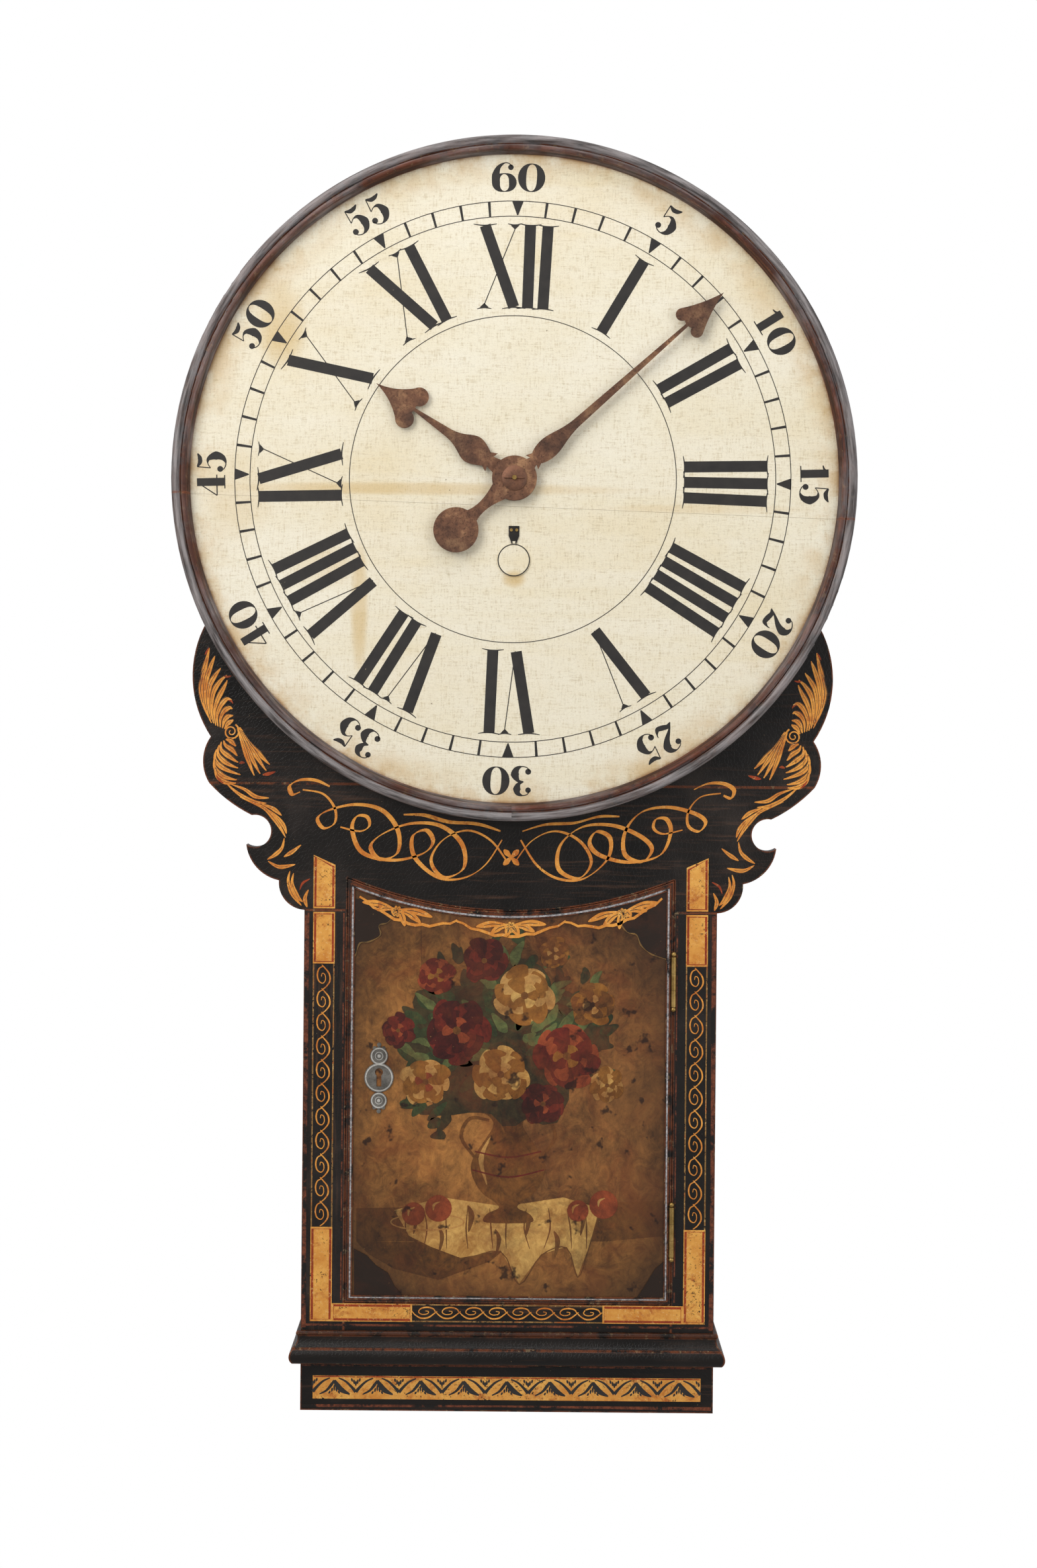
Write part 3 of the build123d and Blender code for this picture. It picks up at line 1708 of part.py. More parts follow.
# Barrel hinges: each leaf is let into its edge, and the pin ends in finials
hinge_x = door_half_width + door_gap / 2
hinge_depth = case_depth + hinge_radius + 0.2
knuckle_half = hinge_length / 6


def hinge_zone(height, low, high, leaf_left, radius):
    post(hinge_x, hinge_depth, height + low, height + high, radius)
    panel(
        leaf_left,
        leaf_left + hinge_leaf,
        height + low,
        height + high,
        case_depth - 1,
        hinge_depth,
    )


with BuildPart() as hinge_case_leaves:
    for height in hinge_heights:
        half = hinge_length / 2
        panel(
            opening_half,
            opening_half + hinge_leaf,
            height - half,
            height + half,
            frame_back + 2.1,
            case_depth,
        )
        hinge_zone(height, -half, -knuckle_half - 0.15, opening_half, hinge_radius)
        hinge_zone(height, knuckle_half + 0.15, half, opening_half, hinge_radius)
        post(hinge_x, hinge_depth, height - half, height + half, hinge_pin_radius)
        for end, way in ((half, 1), (-half, -1)):
            finial = height + end + way * (finial_length - hinge_radius)
            with Locations((hinge_x, -hinge_depth, up(finial))):
                Sphere(hinge_radius)
save(hinge_case_leaves, "hinge_case_leaves")

with BuildPart() as hinge_door_leaves:
    for height in hinge_heights:
        half = hinge_length / 2
        panel(
            door_half_width - hinge_leaf,
            door_half_width,
            height - half,
            height + half,
            frame_back + 2.1,
            case_depth,
        )
        hinge_zone(
            height,
            -knuckle_half + 0.15,
            knuckle_half - 0.15,
            door_half_width - hinge_leaf,
            hinge_radius,
        )
        post(
            hinge_x,
            hinge_depth,
            height - knuckle_half,
            height + knuckle_half,
            hinge_pin_radius + running_gap,
            Mode.SUBTRACT,
        )
save(hinge_door_leaves, "hinge_door_leaves")

# Escutcheon: three round bosses in line, with small finials, pierced by the keyhole
with BuildPart() as escutcheon:
    with BuildSketch(wall_plane(case_depth)):
        for rise, radius in ((0, 16.5), (24.3, 10.1), (-25.7, 9.3), (37, 2.4), (-37.6, 2.4)):
            with Locations((lock_x, up(lock_height + rise))):
                Circle(radius)
        for rise in (35, -35.6):
            for spread in (-5, 5):
                with Locations((lock_x + spread, up(lock_height + rise - 2 * rise / 35))):
                    Circle(2.2)
    extrude(amount=escutcheon_thick)
    keyhole(case_depth, case_depth + escutcheon_thick)
save(escutcheon, "escutcheon")

# Lock on the back of the door; the bolt slides out behind the left stile
lock_left = -opening_half + 6
lock_back = frame_back - lock_deep
bolt_back = lock_back + 4
with BuildPart() as lock_case:
    low = lock_height - lock_tall / 2
    high = lock_height + lock_tall / 2
    panel(lock_left, lock_left + lock_width, low, high, lock_back, frame_back)
    panel(
        lock_left + lock_wall,
        lock_left + lock_width - lock_wall,
        low + lock_wall,
        high - lock_wall,
        lock_back + lock_wall,
        frame_back,
        Mode.SUBTRACT,
    )
    panel(
        lock_left - 1,
        lock_left + 3,
        lock_height - bolt_tall / 2 - 0.3,
        lock_height + bolt_tall / 2 + 0.3,
        bolt_back - 0.3,
        bolt_back + bolt_thick + 0.3,
        Mode.SUBTRACT,
    )
    panel(
        lock_left + 44,
        lock_left + 47,
        lock_height - 14,
        lock_height + 14,
        lock_back + lock_wall,
        bolt_back + bolt_thick + 2,
    )
save(lock_case, "lock_case")

with BuildPart() as lock_bolt:
    panel(
        lock_left + 0.5,
        lock_left + 0.5 + bolt_length,
        lock_height - bolt_tall / 2,
        lock_height + bolt_tall / 2,
        bolt_back,
        bolt_back + bolt_thick,
    )
save(lock_bolt, "lock_bolt")
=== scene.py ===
import functools
import json
import math
import random

import bmesh
import bpy
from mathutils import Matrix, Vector
from mathutils.geometry import tessellate_polygon


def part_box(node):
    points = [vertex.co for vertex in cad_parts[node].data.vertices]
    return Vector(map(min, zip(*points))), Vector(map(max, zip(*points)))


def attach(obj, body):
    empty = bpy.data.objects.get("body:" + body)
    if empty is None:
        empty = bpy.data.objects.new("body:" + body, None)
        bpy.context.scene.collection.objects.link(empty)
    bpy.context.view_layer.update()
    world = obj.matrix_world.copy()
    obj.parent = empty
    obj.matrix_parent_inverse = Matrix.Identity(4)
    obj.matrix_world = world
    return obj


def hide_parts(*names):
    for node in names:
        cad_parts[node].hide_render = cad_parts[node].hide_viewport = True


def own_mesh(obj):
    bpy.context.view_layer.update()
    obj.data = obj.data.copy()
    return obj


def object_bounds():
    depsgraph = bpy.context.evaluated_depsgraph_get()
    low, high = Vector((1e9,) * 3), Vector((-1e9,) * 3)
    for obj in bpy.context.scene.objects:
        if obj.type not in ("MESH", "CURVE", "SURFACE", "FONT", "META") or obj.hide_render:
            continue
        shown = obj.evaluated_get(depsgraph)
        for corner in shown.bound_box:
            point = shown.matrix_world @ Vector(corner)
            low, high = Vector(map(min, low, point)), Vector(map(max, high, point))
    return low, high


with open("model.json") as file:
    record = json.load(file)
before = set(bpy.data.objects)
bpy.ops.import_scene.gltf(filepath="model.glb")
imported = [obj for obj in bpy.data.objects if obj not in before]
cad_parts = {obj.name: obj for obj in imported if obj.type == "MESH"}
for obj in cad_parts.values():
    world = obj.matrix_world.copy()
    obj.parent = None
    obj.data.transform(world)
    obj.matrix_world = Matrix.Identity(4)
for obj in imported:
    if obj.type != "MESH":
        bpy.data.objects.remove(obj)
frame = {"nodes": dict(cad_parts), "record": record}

cadLow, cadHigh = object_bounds()
nodes = frame["nodes"]
scene = bpy.context.scene

# Where the clock stands: heights are measured up from its foot and depths out from the wall, in mm
clock = {
    "hangHeight": 1285,
    "dialHeight": 1047,
    "windingDrop": 91,
    "caseFront": 165,
    "dialFront": 183,
    "seatTop": 898,
}

# The view of the photograph, found from its circles and from the lines that run to the wall
view = {
    "distance": 2500,       # camera to the front of the bezel, mm
    "bezelDepth": 195,
    "pixelSize": 0.7348,    # mm to a pixel at the bezel
    "sideways": 6.6,        # camera to the right of the clock's middle, mm
    "height": 806,
    "axisX": 784,
    "axisY": 1050,
    "lean": 0.5,            # the clock leans this far clockwise in the picture, degrees
    "width": 1568,
    "tall": 2370,
}


def place(x, depth, height):
    return Vector((x / 1000, -depth / 1000, (height - clock["hangHeight"]) / 1000))


# A point of the photograph, in pixels, as x and height on the board at that depth
def fromPhoto(x, y, depth):
    spread = view["pixelSize"] * (view["distance"] + view["bezelDepth"] - depth) / view["distance"]
    across = (x - view["axisX"]) * spread
    above = (view["axisY"] - y) * spread
    lean = math.radians(view["lean"])
    return (
        view["sideways"] + across * math.cos(lean) - above * math.sin(lean),
        view["height"] + across * math.sin(lean) + above * math.cos(lean),
    )


# Camera, lights and stage
def addCamera():
    focalPixels = view["distance"] / view["pixelSize"]
    camera = bpy.data.cameras.new("camera")
    camera.sensor_width = 36
    camera.lens = focalPixels * camera.sensor_width / view["tall"]
    camera.shift_x = (view["width"] / 2 - view["axisX"]) / view["tall"]
    camera.shift_y = (view["axisY"] - view["tall"] / 2) / view["tall"]
    camera.clip_start = 0.05
    holder = bpy.data.objects.new("camera", camera)
    scene.collection.objects.link(holder)
    holder.location = place(view["sideways"], view["distance"] + view["bezelDepth"], view["height"])
    holder.rotation_euler = (math.radians(90), -math.radians(view["lean"]), 0)
    scene.camera = holder


# Lights in watts, and their sizes and places in metres
studio = {
    "key": (46, (1.6, 2.0), (-1.7, -2.3, 0.9), (1, 0.98, 0.95)),
    "fill": (17, (1.6, 2.2), (2.0, -2.2, -0.2), (0.96, 0.98, 1)),
    "top": (12, (2.2, 0.8), (0, -0.9, 1.5), (1, 1, 1)),
    "aim": (0, -0.1, -0.45),
    "surround": 0.42,
    "floorDrop": 0.32,
    "floorReach": 6,
}


def addLight(name, power, size, spot, colour):
    lamp = bpy.data.lights.new(name, "AREA")
    lamp.shape = "RECTANGLE"
    lamp.size, lamp.size_y = size
    lamp.energy = power
    lamp.color = colour
    holder = bpy.data.objects.new(name, lamp)
    scene.collection.objects.link(holder)
    holder.location = spot
    holder.rotation_euler = (Vector(studio["aim"]) - Vector(spot)).to_track_quat("-Z", "Y").to_euler()
    holder.visible_camera = False


def addStudio():
    for name in ("key", "fill", "top"):
        addLight(name + "Softbox", *studio[name])
    world = bpy.data.worlds.new("whiteStudio")
    scene.world = world
    world.use_nodes = True
    tree = world.node_tree
    tree.nodes.clear()
    white = (1, 1, 1, 1)
    soft = addNode(tree, "Background", {"Color": white, "Strength": studio["surround"]})
    seen = addNode(tree, "Background", {"Color": white, "Strength": 1.0})
    byCamera = addNode(tree, "LightPath", output="Is Camera Ray")
    addNode(tree, "OutputWorld", {"Surface": addNode(tree, "MixShader", {0: byCamera, 1: soft, 2: seen})})
    mesh = bpy.data.meshes.new("studioFloor")
    level = cadLow.z - studio["floorDrop"]
    far = studio["floorReach"]
    corners = [(-far, -far, level), (far, -far, level), (far, far, level), (-far, far, level)]
    mesh.from_pydata(corners, [], [(0, 1, 2, 3)])
    floor = bpy.data.objects.new("studioFloor", mesh)
    scene.collection.objects.link(floor)
    finish = bpy.data.materials.new("palePaper")
    finish.use_nodes = True
    tree = finish.node_tree
    tree.nodes.clear()
    glow = addNode(tree, "Emission", {"Color": white, "Strength": 1.0})
    addNode(tree, "OutputMaterial", {"Surface": glow})
    mesh.materials.append(finish)
    floor.visible_diffuse = False
    floor.visible_glossy = False
    scene.view_settings.view_transform = "Standard"
    scene.view_settings.look = "None"


# Helpers for materials
def linear(hexColour):
    channels = []
    for start in (0, 2, 4):
        value = int(hexColour[start:start + 2], 16) / 255
        channels.append(value / 12.92 if value <= 0.04045 else ((value + 0.055) / 1.055) ** 2.4)
    return (*channels, 1)


# Adds a node and gives back one of its outputs. A setting names or numbers a socket and holds its
# value, a hex colour or another node's output; the stops are for a ramp
def addNode(tree, kind, settings=None, output=0, stops=(), ease="LINEAR", **properties):
    node = tree.nodes.new("ShaderNode" + kind)
    for name, value in properties.items():
        setattr(node, name, value)
    for name, value in (settings or {}).items():
        socket = node.inputs[name]
        if isinstance(value, bpy.types.NodeSocket):
            tree.links.new(value, socket)
        else:
            socket.default_value = linear(value) if isinstance(value, str) else value
    if stops:
        ramp = node.color_ramp
        ramp.interpolation = ease
        while len(ramp.elements) < len(stops):
            ramp.elements.new(1)
        for element, (spot, tone) in zip(ramp.elements, stops):
            element.position = spot
            element.color = linear(tone) if isinstance(tone, str) else (tone, tone, tone, 1)
    return node.outputs[output] if node.outputs else None


def startFinish(name):
    finish = bpy.data.materials.new(name)
    finish.use_nodes = True
    finish.node_tree.nodes.clear()
    add = functools.partial(addNode, finish.node_tree)
    return finish, add, add("TexCoord", output="Object")


# The grains of a pattern, in mm, as the scale of a texture that counts in metres
def grains(where, size, detail=4.0, rough=0.6, warp=0.0):
    return {"Vector": where, "Scale": 1000 / size, "Detail": detail, "Roughness": rough, "Distortion": warp}


# A share of each point, read off a cloudy pattern whose patches are about that size in mm
def patches(add, where, size, stops, detail=4.0, rough=0.6, warp=0.0):
    pattern = add("TexNoise", grains(where, size, detail, rough, warp))
    return add("ValToRGB", {0: pattern}, stops=stops)


# Lays a tone over the base, as strongly as its shares say when they are multiplied together
def layTone(add, base, tone, *shares):
    strength = shares[0]
    for share in shares[1:]:
        strength = add("Math", {0: strength, 1: share}, operation="MULTIPLY")
    return add("Mix", {0: strength, 6: base, 7: tone}, 2, data_type="RGBA")


# Across, out, above and away from the middle of the dial, in metres
def fromDialMiddle(add, where):
    spot = add("SeparateXYZ", {"Vector": where}).node.outputs
    middle = (clock["dialHeight"] - clock["hangHeight"]) / 1000
    rise = add("Math", {0: spot["Z"], 1: middle}, operation="SUBTRACT")
    square = add("Math", {0: spot["X"], 1: spot["X"]}, operation="MULTIPLY")
    squares = add("Math", {0: rise, 1: rise, 2: square}, operation="MULTIPLY_ADD")
    return spot["X"], spot["Y"], rise, add("Math", {0: squares}, operation="SQRT")


# Bright along sharp edges: how far a rounded edge's normal leaves the face's own
def edgeMask(add, radius, low, high):
    rounded = add("Bevel", {"Radius": radius}, samples=4)
    flat = add("NewGeometry", output="Normal")
    match = add("VectorMath", {0: rounded, 1: flat}, "Value", operation="DOT_PRODUCT")
    return add("MapRange", {"Value": match, "From Min": high, "From Max": low, "To Min": 0.0, "To Max": 1.0})


# Ends a finish: its colour, its roughness and its relief, in mm
def endFinish(add, sockets, colour, rough, bumps, strength, relief):
    normal = add("Bump", {"Height": bumps, "Strength": strength, "Distance": relief / 1000})
    sockets = {**sockets, "Base Color": colour, "Roughness": rough, "Normal": normal}
    add("OutputMaterial", {"Surface": add("BsdfPrincipled", sockets)})


# Black japan on pine: shellac over lampblack, so a dark brown-black with a soft gloss, crazed
# and rubbed to the reddish ground along its edges, with pale dust in the grain. On the turned
# bezel, pale streaks that run round it are a painted sheen
japanTone = {
    "deep": "0f0c0a",
    "middle": "1b1613",
    "dusty": "352c27",
    "streak": "624433",
    # Painted sheen: a pale grey laid on the turned bezel where the light runs round it
    "sheen": "a19b9b",      # turned work, where the light runs round it
    "ground": "8c4a28",     # the red-brown ground where the black is rubbed off
    "fleck": "b79a72",
    "edge": 3,              # how far in from an edge the rubbing reaches, mm
}


def blackJapan(name, axis="upright"):
    finish, add, where = startFinish(name)
    tone = japanTone
    if axis == "ring":
        across, out, rise, reach = fromDialMiddle(add, where)
        turn = add("Math", {0: across, 1: rise}, operation="ARCTAN2")
        run = add("Math", {0: turn, 1: 0.03}, operation="MULTIPLY")
        out = add("Math", {0: out, 1: 1.2}, operation="MULTIPLY")
        grain = add("CombineXYZ", {"X": run, "Y": out, "Z": reach})
    else:
        scale = (1, 1, 0.06) if axis == "upright" else (0.06, 1, 1)
        grain = add("Mapping", {"Vector": where, "Scale": scale})
    cloud = add("TexNoise", grains(where, 111.1, 5))
    streak = add("TexNoise", grains(grain, 4.348, 5, 0.65))
    stops = [(0.34, tone["deep"]), (0.55, tone["middle"]), (0.72, tone["dusty"])]
    base = add("ValToRGB", {0: cloud}, stops=stops)
    brown = add("ValToRGB", {0: streak}, stops=[(0.5, 0.0), (0.72, 1.0)])
    if axis == "ring":
        # Painted sheen: pale grey streaks round the turned bezel stand in for the light it catches
        sheen = add("ValToRGB", {0: streak}, stops=[(0.36, 0.12), (0.62, 0.85)])
        base = layTone(add, base, tone["sheen"], sheen)
        share = add("Math", {0: reach, 1: 2.5}, operation="MULTIPLY")
        lip = add("ValToRGB", {0: share}, stops=[(0.9055, 1.0), (0.922, 1.0), (0.93, 0.0)])
        rust = patches(add, where, 100, [(0.36, 0.25), (0.58, 1.0)], 5)
        rusty = add("Mix", {0: brown, 6: "3a211a", 7: "754333"}, 2, data_type="RGBA")
        base = layTone(add, base, rusty, lip, rust)
    else:
        worn = patches(add, grain, 38.46, [(0.46, 0.0), (0.64, 0.85)], 5, 0.7)
        base = layTone(add, base, tone["streak"], brown, worn)
    edges = edgeMask(add, tone["edge"] / 1000, 0.93, 0.998)
    for colour, size, detail, rough, stops in (
        (tone["ground"], 23.81, 5, 0.75, [(0.4, 0.0), (0.52, 0.9)]),
        (tone["fleck"], 7.692, 3, 0.7, [(0.6, 0.0), (0.64, 0.55)]),
    ):
        broken = patches(add, where, size, stops, detail, rough)
        base = layTone(add, base, colour, edges, broken)
    flecks = patches(add, where, 2.632, [(0.735, 0.0), (0.765, 0.75)], 3, 0.7)
    base = layTone(add, base, tone["fleck"], flecks)
    crazing = add("TexVoronoi", {"Vector": where, "Scale": 1000 / 3.846}, feature="DISTANCE_TO_EDGE")
    cracks = add("ValToRGB", {0: crazing}, stops=[(0.0, 0.0), (0.06, 0.35)])
    heights = add("Math", {0: streak, 1: 0.65, 2: cracks}, operation="MULTIPLY_ADD")
    stops = [(0.3, 0.24), (0.7, 0.44)] if axis == "level" else [(0.3, 0.36), (0.7, 0.58)]
    rough = add("ValToRGB", {0: cloud}, stops=stops)
    endFinish(add, {"IOR": 1.5, "Specular IOR Level": 0.3}, base, rough, heights, 0.4, 0.6)
    return finish


# Old deal, unfinished: brown with age, long open grain, and no gloss
def bareDeal(name):
    finish, add, where = startFinish(name)
    grain = add("Mapping", {"Vector": where, "Scale": (1, 1, 0.05)})
    rings = add("TexNoise", grains(grain, 6.667, 5, 0.6, 0.4))
    base = add("ValToRGB", {0: rings}, stops=[(0.3, "4a3220"), (0.52, "6d4c31"), (0.7, "86623f")])
    dark = patches(add, where, 166.7, [(0.4, 0.0), (0.7, 0.55)])
    base = layTone(add, base, "3c2a1c", dark)
    rough = add("ValToRGB", {0: rings}, stops=[(0.3, 0.85), (0.7, 0.7)])
    endFinish(add, {"IOR": 1.45}, base, rough, rings, 0.4, 0.8)
    return finish


# Stains of the dial: x and height from its middle, half width and half height in m, and depth of tone
stains = (
    (-0.172, -0.145, 0.012, 0.085, 0.75),
    (-0.215, -0.1, 0.05, 0.03, 0.4),
    (-0.262, 0.168, 0.034, 0.055, 0.7),
    (-0.1, -0.012, 0.27, 0.009, 0.6),
    (0.22, -0.032, 0.14, 0.007, 0.3),
    (0.0, -0.112, 0.016, 0.012, 0.75),
    (-0.31, -0.02, 0.045, 0.07, 0.35),
    (0.29, 0.2, 0.05, 0.05, 0.3),
)


# Lead white in oil on planks: cream with age, a fine net of cracks across and down the grain,
# yellow where damp ran, and rubbed ochre at its rim
def dialPaint(name):
    finish, add, where = startFinish(name)
    across, _, rise, reach = fromDialMiddle(add, where)
    cloud = add("TexNoise", grains(where, 200, 5))
    threads = []
    for scale in ((0.14, 1, 1), (1, 1, 0.14)):
        grain = add("Mapping", {"Vector": where, "Scale": scale})
        threads.append(add("TexNoise", grains(grain, 1.923, 3, 0.7)))
    total = add("Math", {0: threads[0], 1: threads[1]}, operation="ADD")
    fine = add("Math", {0: total, 1: 0.5}, operation="MULTIPLY")
    base = add("ValToRGB", {0: cloud}, stops=[(0.3, "f6efda"), (0.5, "f1e7cd"), (0.72, "ead9b2")])
    grain = add("Mapping", {"Vector": where, "Scale": (0.03, 1, 1)})
    planks = patches(add, grain, 29.41, [(0.42, 0.0), (0.62, 0.4)])
    base = layTone(add, base, "f7f0df", planks)
    dirt = add("ValToRGB", {0: fine}, stops=[(0.51, 0.0), (0.64, 0.5)])
    base = layTone(add, base, "c2ad82", dirt)
    rim = add("ValToRGB", {0: reach}, stops=[(0.325, 0.0), (0.3625, 0.75)])
    patchy = patches(add, where, 71.43, [(0.42, 0.0), (0.6, 1.0)], 5, 0.7)
    base = layTone(add, base, "cfa869", rim, patchy)
    share = add("Math", {0: reach, 1: 2.5}, operation="MULTIPLY")
    lip = add("ValToRGB", {0: share}, stops=[(0.897, 0.0), (0.904, 0.7)])
    uneven = add("ValToRGB", {0: patchy}, stops=[(0.2, 0.3), (0.8, 1.0)])
    base = layTone(add, base, "9c6a3c", lip, uneven)
    mottle = add("ValToRGB", {0: cloud}, stops=[(0.3, 0.5), (0.6, 1.0)])
    for middleX, middleZ, wide, tall, depth in stains:
        squares = []
        for value, middle, half in ((across, middleX, wide), (rise, middleZ, tall)):
            away = add("Math", {0: value, 1: middle}, operation="SUBTRACT")
            away = add("Math", {0: away, 1: 1 / half}, operation="MULTIPLY")
            squares.append(add("Math", {0: away, 1: 2.0}, operation="POWER"))
        away = add("Math", {0: squares[0], 1: squares[1]}, operation="ADD")
        fade = add("ValToRGB", {0: away}, stops=[(0.0, depth), (1.0, 0.0)], ease="EASE")
        base = layTone(add, base, "d5b472", fade, mottle)
    dots = patches(add, where, 4.167, [(0.755, 0.0), (0.79, 0.8)], 2, 0.5)
    base = layTone(add, base, "6b5138", dots)
    cells = add("Mapping", {"Vector": where, "Scale": (0.6, 1, 1)})
    cracks = add("TexVoronoi", {"Vector": cells, "Scale": 1000 / 2.941}, feature="DISTANCE_TO_EDGE")
    net = add("ValToRGB", {0: cracks}, stops=[(0.0, 0.0), (0.05, 1.0)])
    dark = add("Math", {0: net, 1: -0.16, 2: 0.16}, operation="MULTIPLY_ADD")
    base = layTone(add, base, "8f7d5a", dark)
    rough = add("ValToRGB", {0: cloud}, stops=[(0.3, 0.5), (0.7, 0.6)])
    heights = add("Math", {0: net, 1: fine}, operation="ADD")
    endFinish(add, {"IOR": 1.48}, base, rough, heights, 0.18, 0.3)
    return finish


# Lampblack paint of the numerals: matt, thin over the cream, with small chips
def numeralBlack(name):
    finish, add, where = startFinish(name)
    cloud = add("TexNoise", grains(where, 16.67))
    base = add("ValToRGB", {0: cloud}, stops=[(0.3, "242120"), (0.7, "322e2b")])
    grain = add("Mapping", {"Vector": where, "Scale": (0.5, 1, 1)})
    chips = patches(add, grain, 6.667, [(0.72, 0.0), (0.76, 1.0)], 4, 0.7)
    base = layTone(add, base, "cbbd98", chips)
    rough = add("ValToRGB", {0: cloud}, stops=[(0.3, 0.5), (0.7, 0.62)])
    endFinish(add, {"IOR": 1.45}, base, rough, chips, 0.3, 0.2)
    return finish


# Gold leaf toned with varnish: orange-yellow, satin, in patches worn to the red clay under it
# and in specks to black, with pale yellow specks painted on as glints of light
def wornGilding(name, light, deep, bare, bareShare):
    finish, add, where = startFinish(name)
    cloud = add("TexNoise", grains(where, 26.32, 5, 0.65))
    speck = add("TexNoise", grains(where, 3.03, 4, 0.75))
    base = add("ValToRGB", {0: cloud}, stops=[(0.3, deep), (0.62, light)])
    clay = patches(add, where, 16.13, [(0.52, 0.0), (0.66, 0.8)], 6, 0.75, 0.5)
    base = layTone(add, base, "b4561f", clay)
    broad = add("Math", {0: cloud, 1: 0.3}, operation="MULTIPLY")
    mixed = add("Math", {0: speck, 1: 0.7, 2: broad}, operation="MULTIPLY_ADD")
    worn = add("ValToRGB", {0: mixed}, stops=[(bareShare - 0.02, 0.0), (bareShare + 0.02, 1.0)])
    base = layTone(add, base, bare, worn)
    # Painted highlight: pale yellow specks stand in for glints of light on the leaf
    paintedGlint = add("ValToRGB", {0: speck}, stops=[(0.34, 0.6), (0.42, 0.0)])
    base = layTone(add, base, "ffd38a", paintedGlint)
    rough = add("ValToRGB", {0: cloud}, stops=[(0.3, 0.38), (0.7, 0.55)])
    endFinish(add, {"IOR": 1.5, "Metallic": 0.35}, base, rough, speck, 0.35, 0.3)
    return finish


# Paint rubbed down to a coloured ground in patches, and black between them
def rubbedGround(name, light, deep, share):
    finish, add, where = startFinish(name)
    cloud = add("TexNoise", grains(where, 38.46, 6, 0.75))
    grit = add("TexNoise", grains(where, 3.333, 4, 0.7))
    base = add("ValToRGB", {0: grit}, stops=[(0.38, deep), (0.6, light)])
    left = add("ValToRGB", {0: cloud}, stops=[(share - 0.02, 0.0), (share + 0.06, 1.0)])
    base = layTone(add, base, "17120f", left)
    rough = add("ValToRGB", {0: cloud}, stops=[(0.3, 0.5), (0.7, 0.65)])
    endFinish(add, {"IOR": 1.48, "Specular IOR Level": 0.35}, base, rough, grit, 0.4, 0.4)
    return finish


# Oil paint under an old yellow varnish: warm and low in contrast, satin, dirty towards the edges
# of the door, with dark spots where the varnish has flaked or been burnt, and a few pale chips
def agedOil(name, light, deep, size=71.43):
    finish, add, where = startFinish(name)
    cloud = add("TexNoise", grains(where, size, 6, 0.65, 0.4))
    half = add("Math", {0: cloud, 1: 0.5}, operation="MULTIPLY")
    grain = add("Mapping", {"Vector": where, "Scale": (1, 1, 0.8)})
    strokes = add("TexNoise", grains(grain, 14.286, 7, 0.75, 1.2))
    blend = add("Math", {0: strokes, 1: 0.5, 2: half}, operation="MULTIPLY_ADD")
    base = add("ValToRGB", {0: blend}, stops=[(0.4, deep), (0.6, light)])
    warm = patches(add, where, 58.82, [(0.46, 0.0), (0.62, 0.4)], 6, 0.7, 0.6)
    base = layTone(add, base, "7a3a1c", warm)
    grime = patches(add, where, 90.91, [(0.45, 0.0), (0.68, 0.7)], 7, 0.78, 0.5)
    base = layTone(add, base, "25160d", grime)
    # Both distances from the middle of the door come to 1 near its edges
    parts = add("SeparateXYZ", {"Vector": where}).node.outputs
    rim = add("Math", {0: cloud, 1: 0.9}, operation="MULTIPLY")
    for axis, scale, shift in (("X", 5.6, 0.0), ("Z", 4.4, 4.1)):
        away = add("Math", {0: parts[axis], 1: scale, 2: shift}, operation="MULTIPLY_ADD")
        away = add("Math", {0: away}, operation="ABSOLUTE")
        cube = add("Math", {0: away, 1: 3.0}, operation="POWER")
        rim = add("Math", {0: rim, 1: cube}, operation="ADD")
    rim = add("Math", {0: rim, 1: 0.5}, operation="MULTIPLY")
    rim = add("ValToRGB", {0: rim}, stops=[(0.42, 0.0), (0.85, 0.75)])
    base = layTone(add, base, "2b1b11", rim)
    spots = patches(add, where, 22.73, [(0.63, 0.0), (0.68, 0.85)], 3, 0.55)
    base = layTone(add, base, "21100a", spots)
    chips = patches(add, where, 4.348, [(0.7, 0.0), (0.74, 0.5)], 3, 0.7)
    base = layTone(add, base, "b08650", chips)
    rough = add("ValToRGB", {0: cloud}, stops=[(0.3, 0.34), (0.7, 0.52)])
    endFinish(add, {"IOR": 1.5, "Specular IOR Level": 0.35}, base, rough, strokes, 0.45, 0.5)
    return finish


# Wrought iron browned by rust: red-brown, dull, with a fine tooth
def brownedIron(name):
    finish, add, where = startFinish(name)
    fine = add("TexNoise", grains(where, 2.083, 4, 0.7))
    base = patches(add, where, 22.22, [(0.3, "4e3327"), (0.5, "7b543d"), (0.68, "b08560")], 5, 0.7)
    broad = patches(add, where, 111.1, [(0.42, 0.0), (0.6, 0.75)], 3)
    base = layTone(add, base, "3a2c25", broad)
    pits = add("ValToRGB", {0: fine}, stops=[(0.52, 0.0), (0.68, 0.7)])
    base = layTone(add, base, "2b1c16", pits)
    rough = add("ValToRGB", {0: fine}, stops=[(0.3, 0.5), (0.7, 0.7)])
    endFinish(add, {"Metallic": 0.35}, base, rough, fine, 0.45, 0.3)
    return finish


# A metal piece, cast, rolled or filed: its tone, how dull it is, and tarnish in blotches
def oldMetal(name, light, deep, tarnish, metal=1.0, low=0.3, high=0.5, brush=(1, 1, 1)):
    finish, add, where = startFinish(name)
    cloud = add("TexNoise", grains(where, 14.286, 5, 0.65))
    grain = add("Mapping", {"Vector": where, "Scale": brush})
    lines = add("TexNoise", grains(grain, 1.667, 3))
    base = add("ValToRGB", {0: cloud}, stops=[(0.3, deep), (0.65, light)])
    dark = add("ValToRGB", {0: lines}, stops=[(0.55, 0.0), (0.72, 0.55)])
    base = layTone(add, base, tarnish, dark)
    rough = add("ValToRGB", {0: cloud}, stops=[(0.3, low), (0.7, high)])
    endFinish(add, {"Metallic": metal}, base, rough, lines, 0.2, 0.2)
    return finish


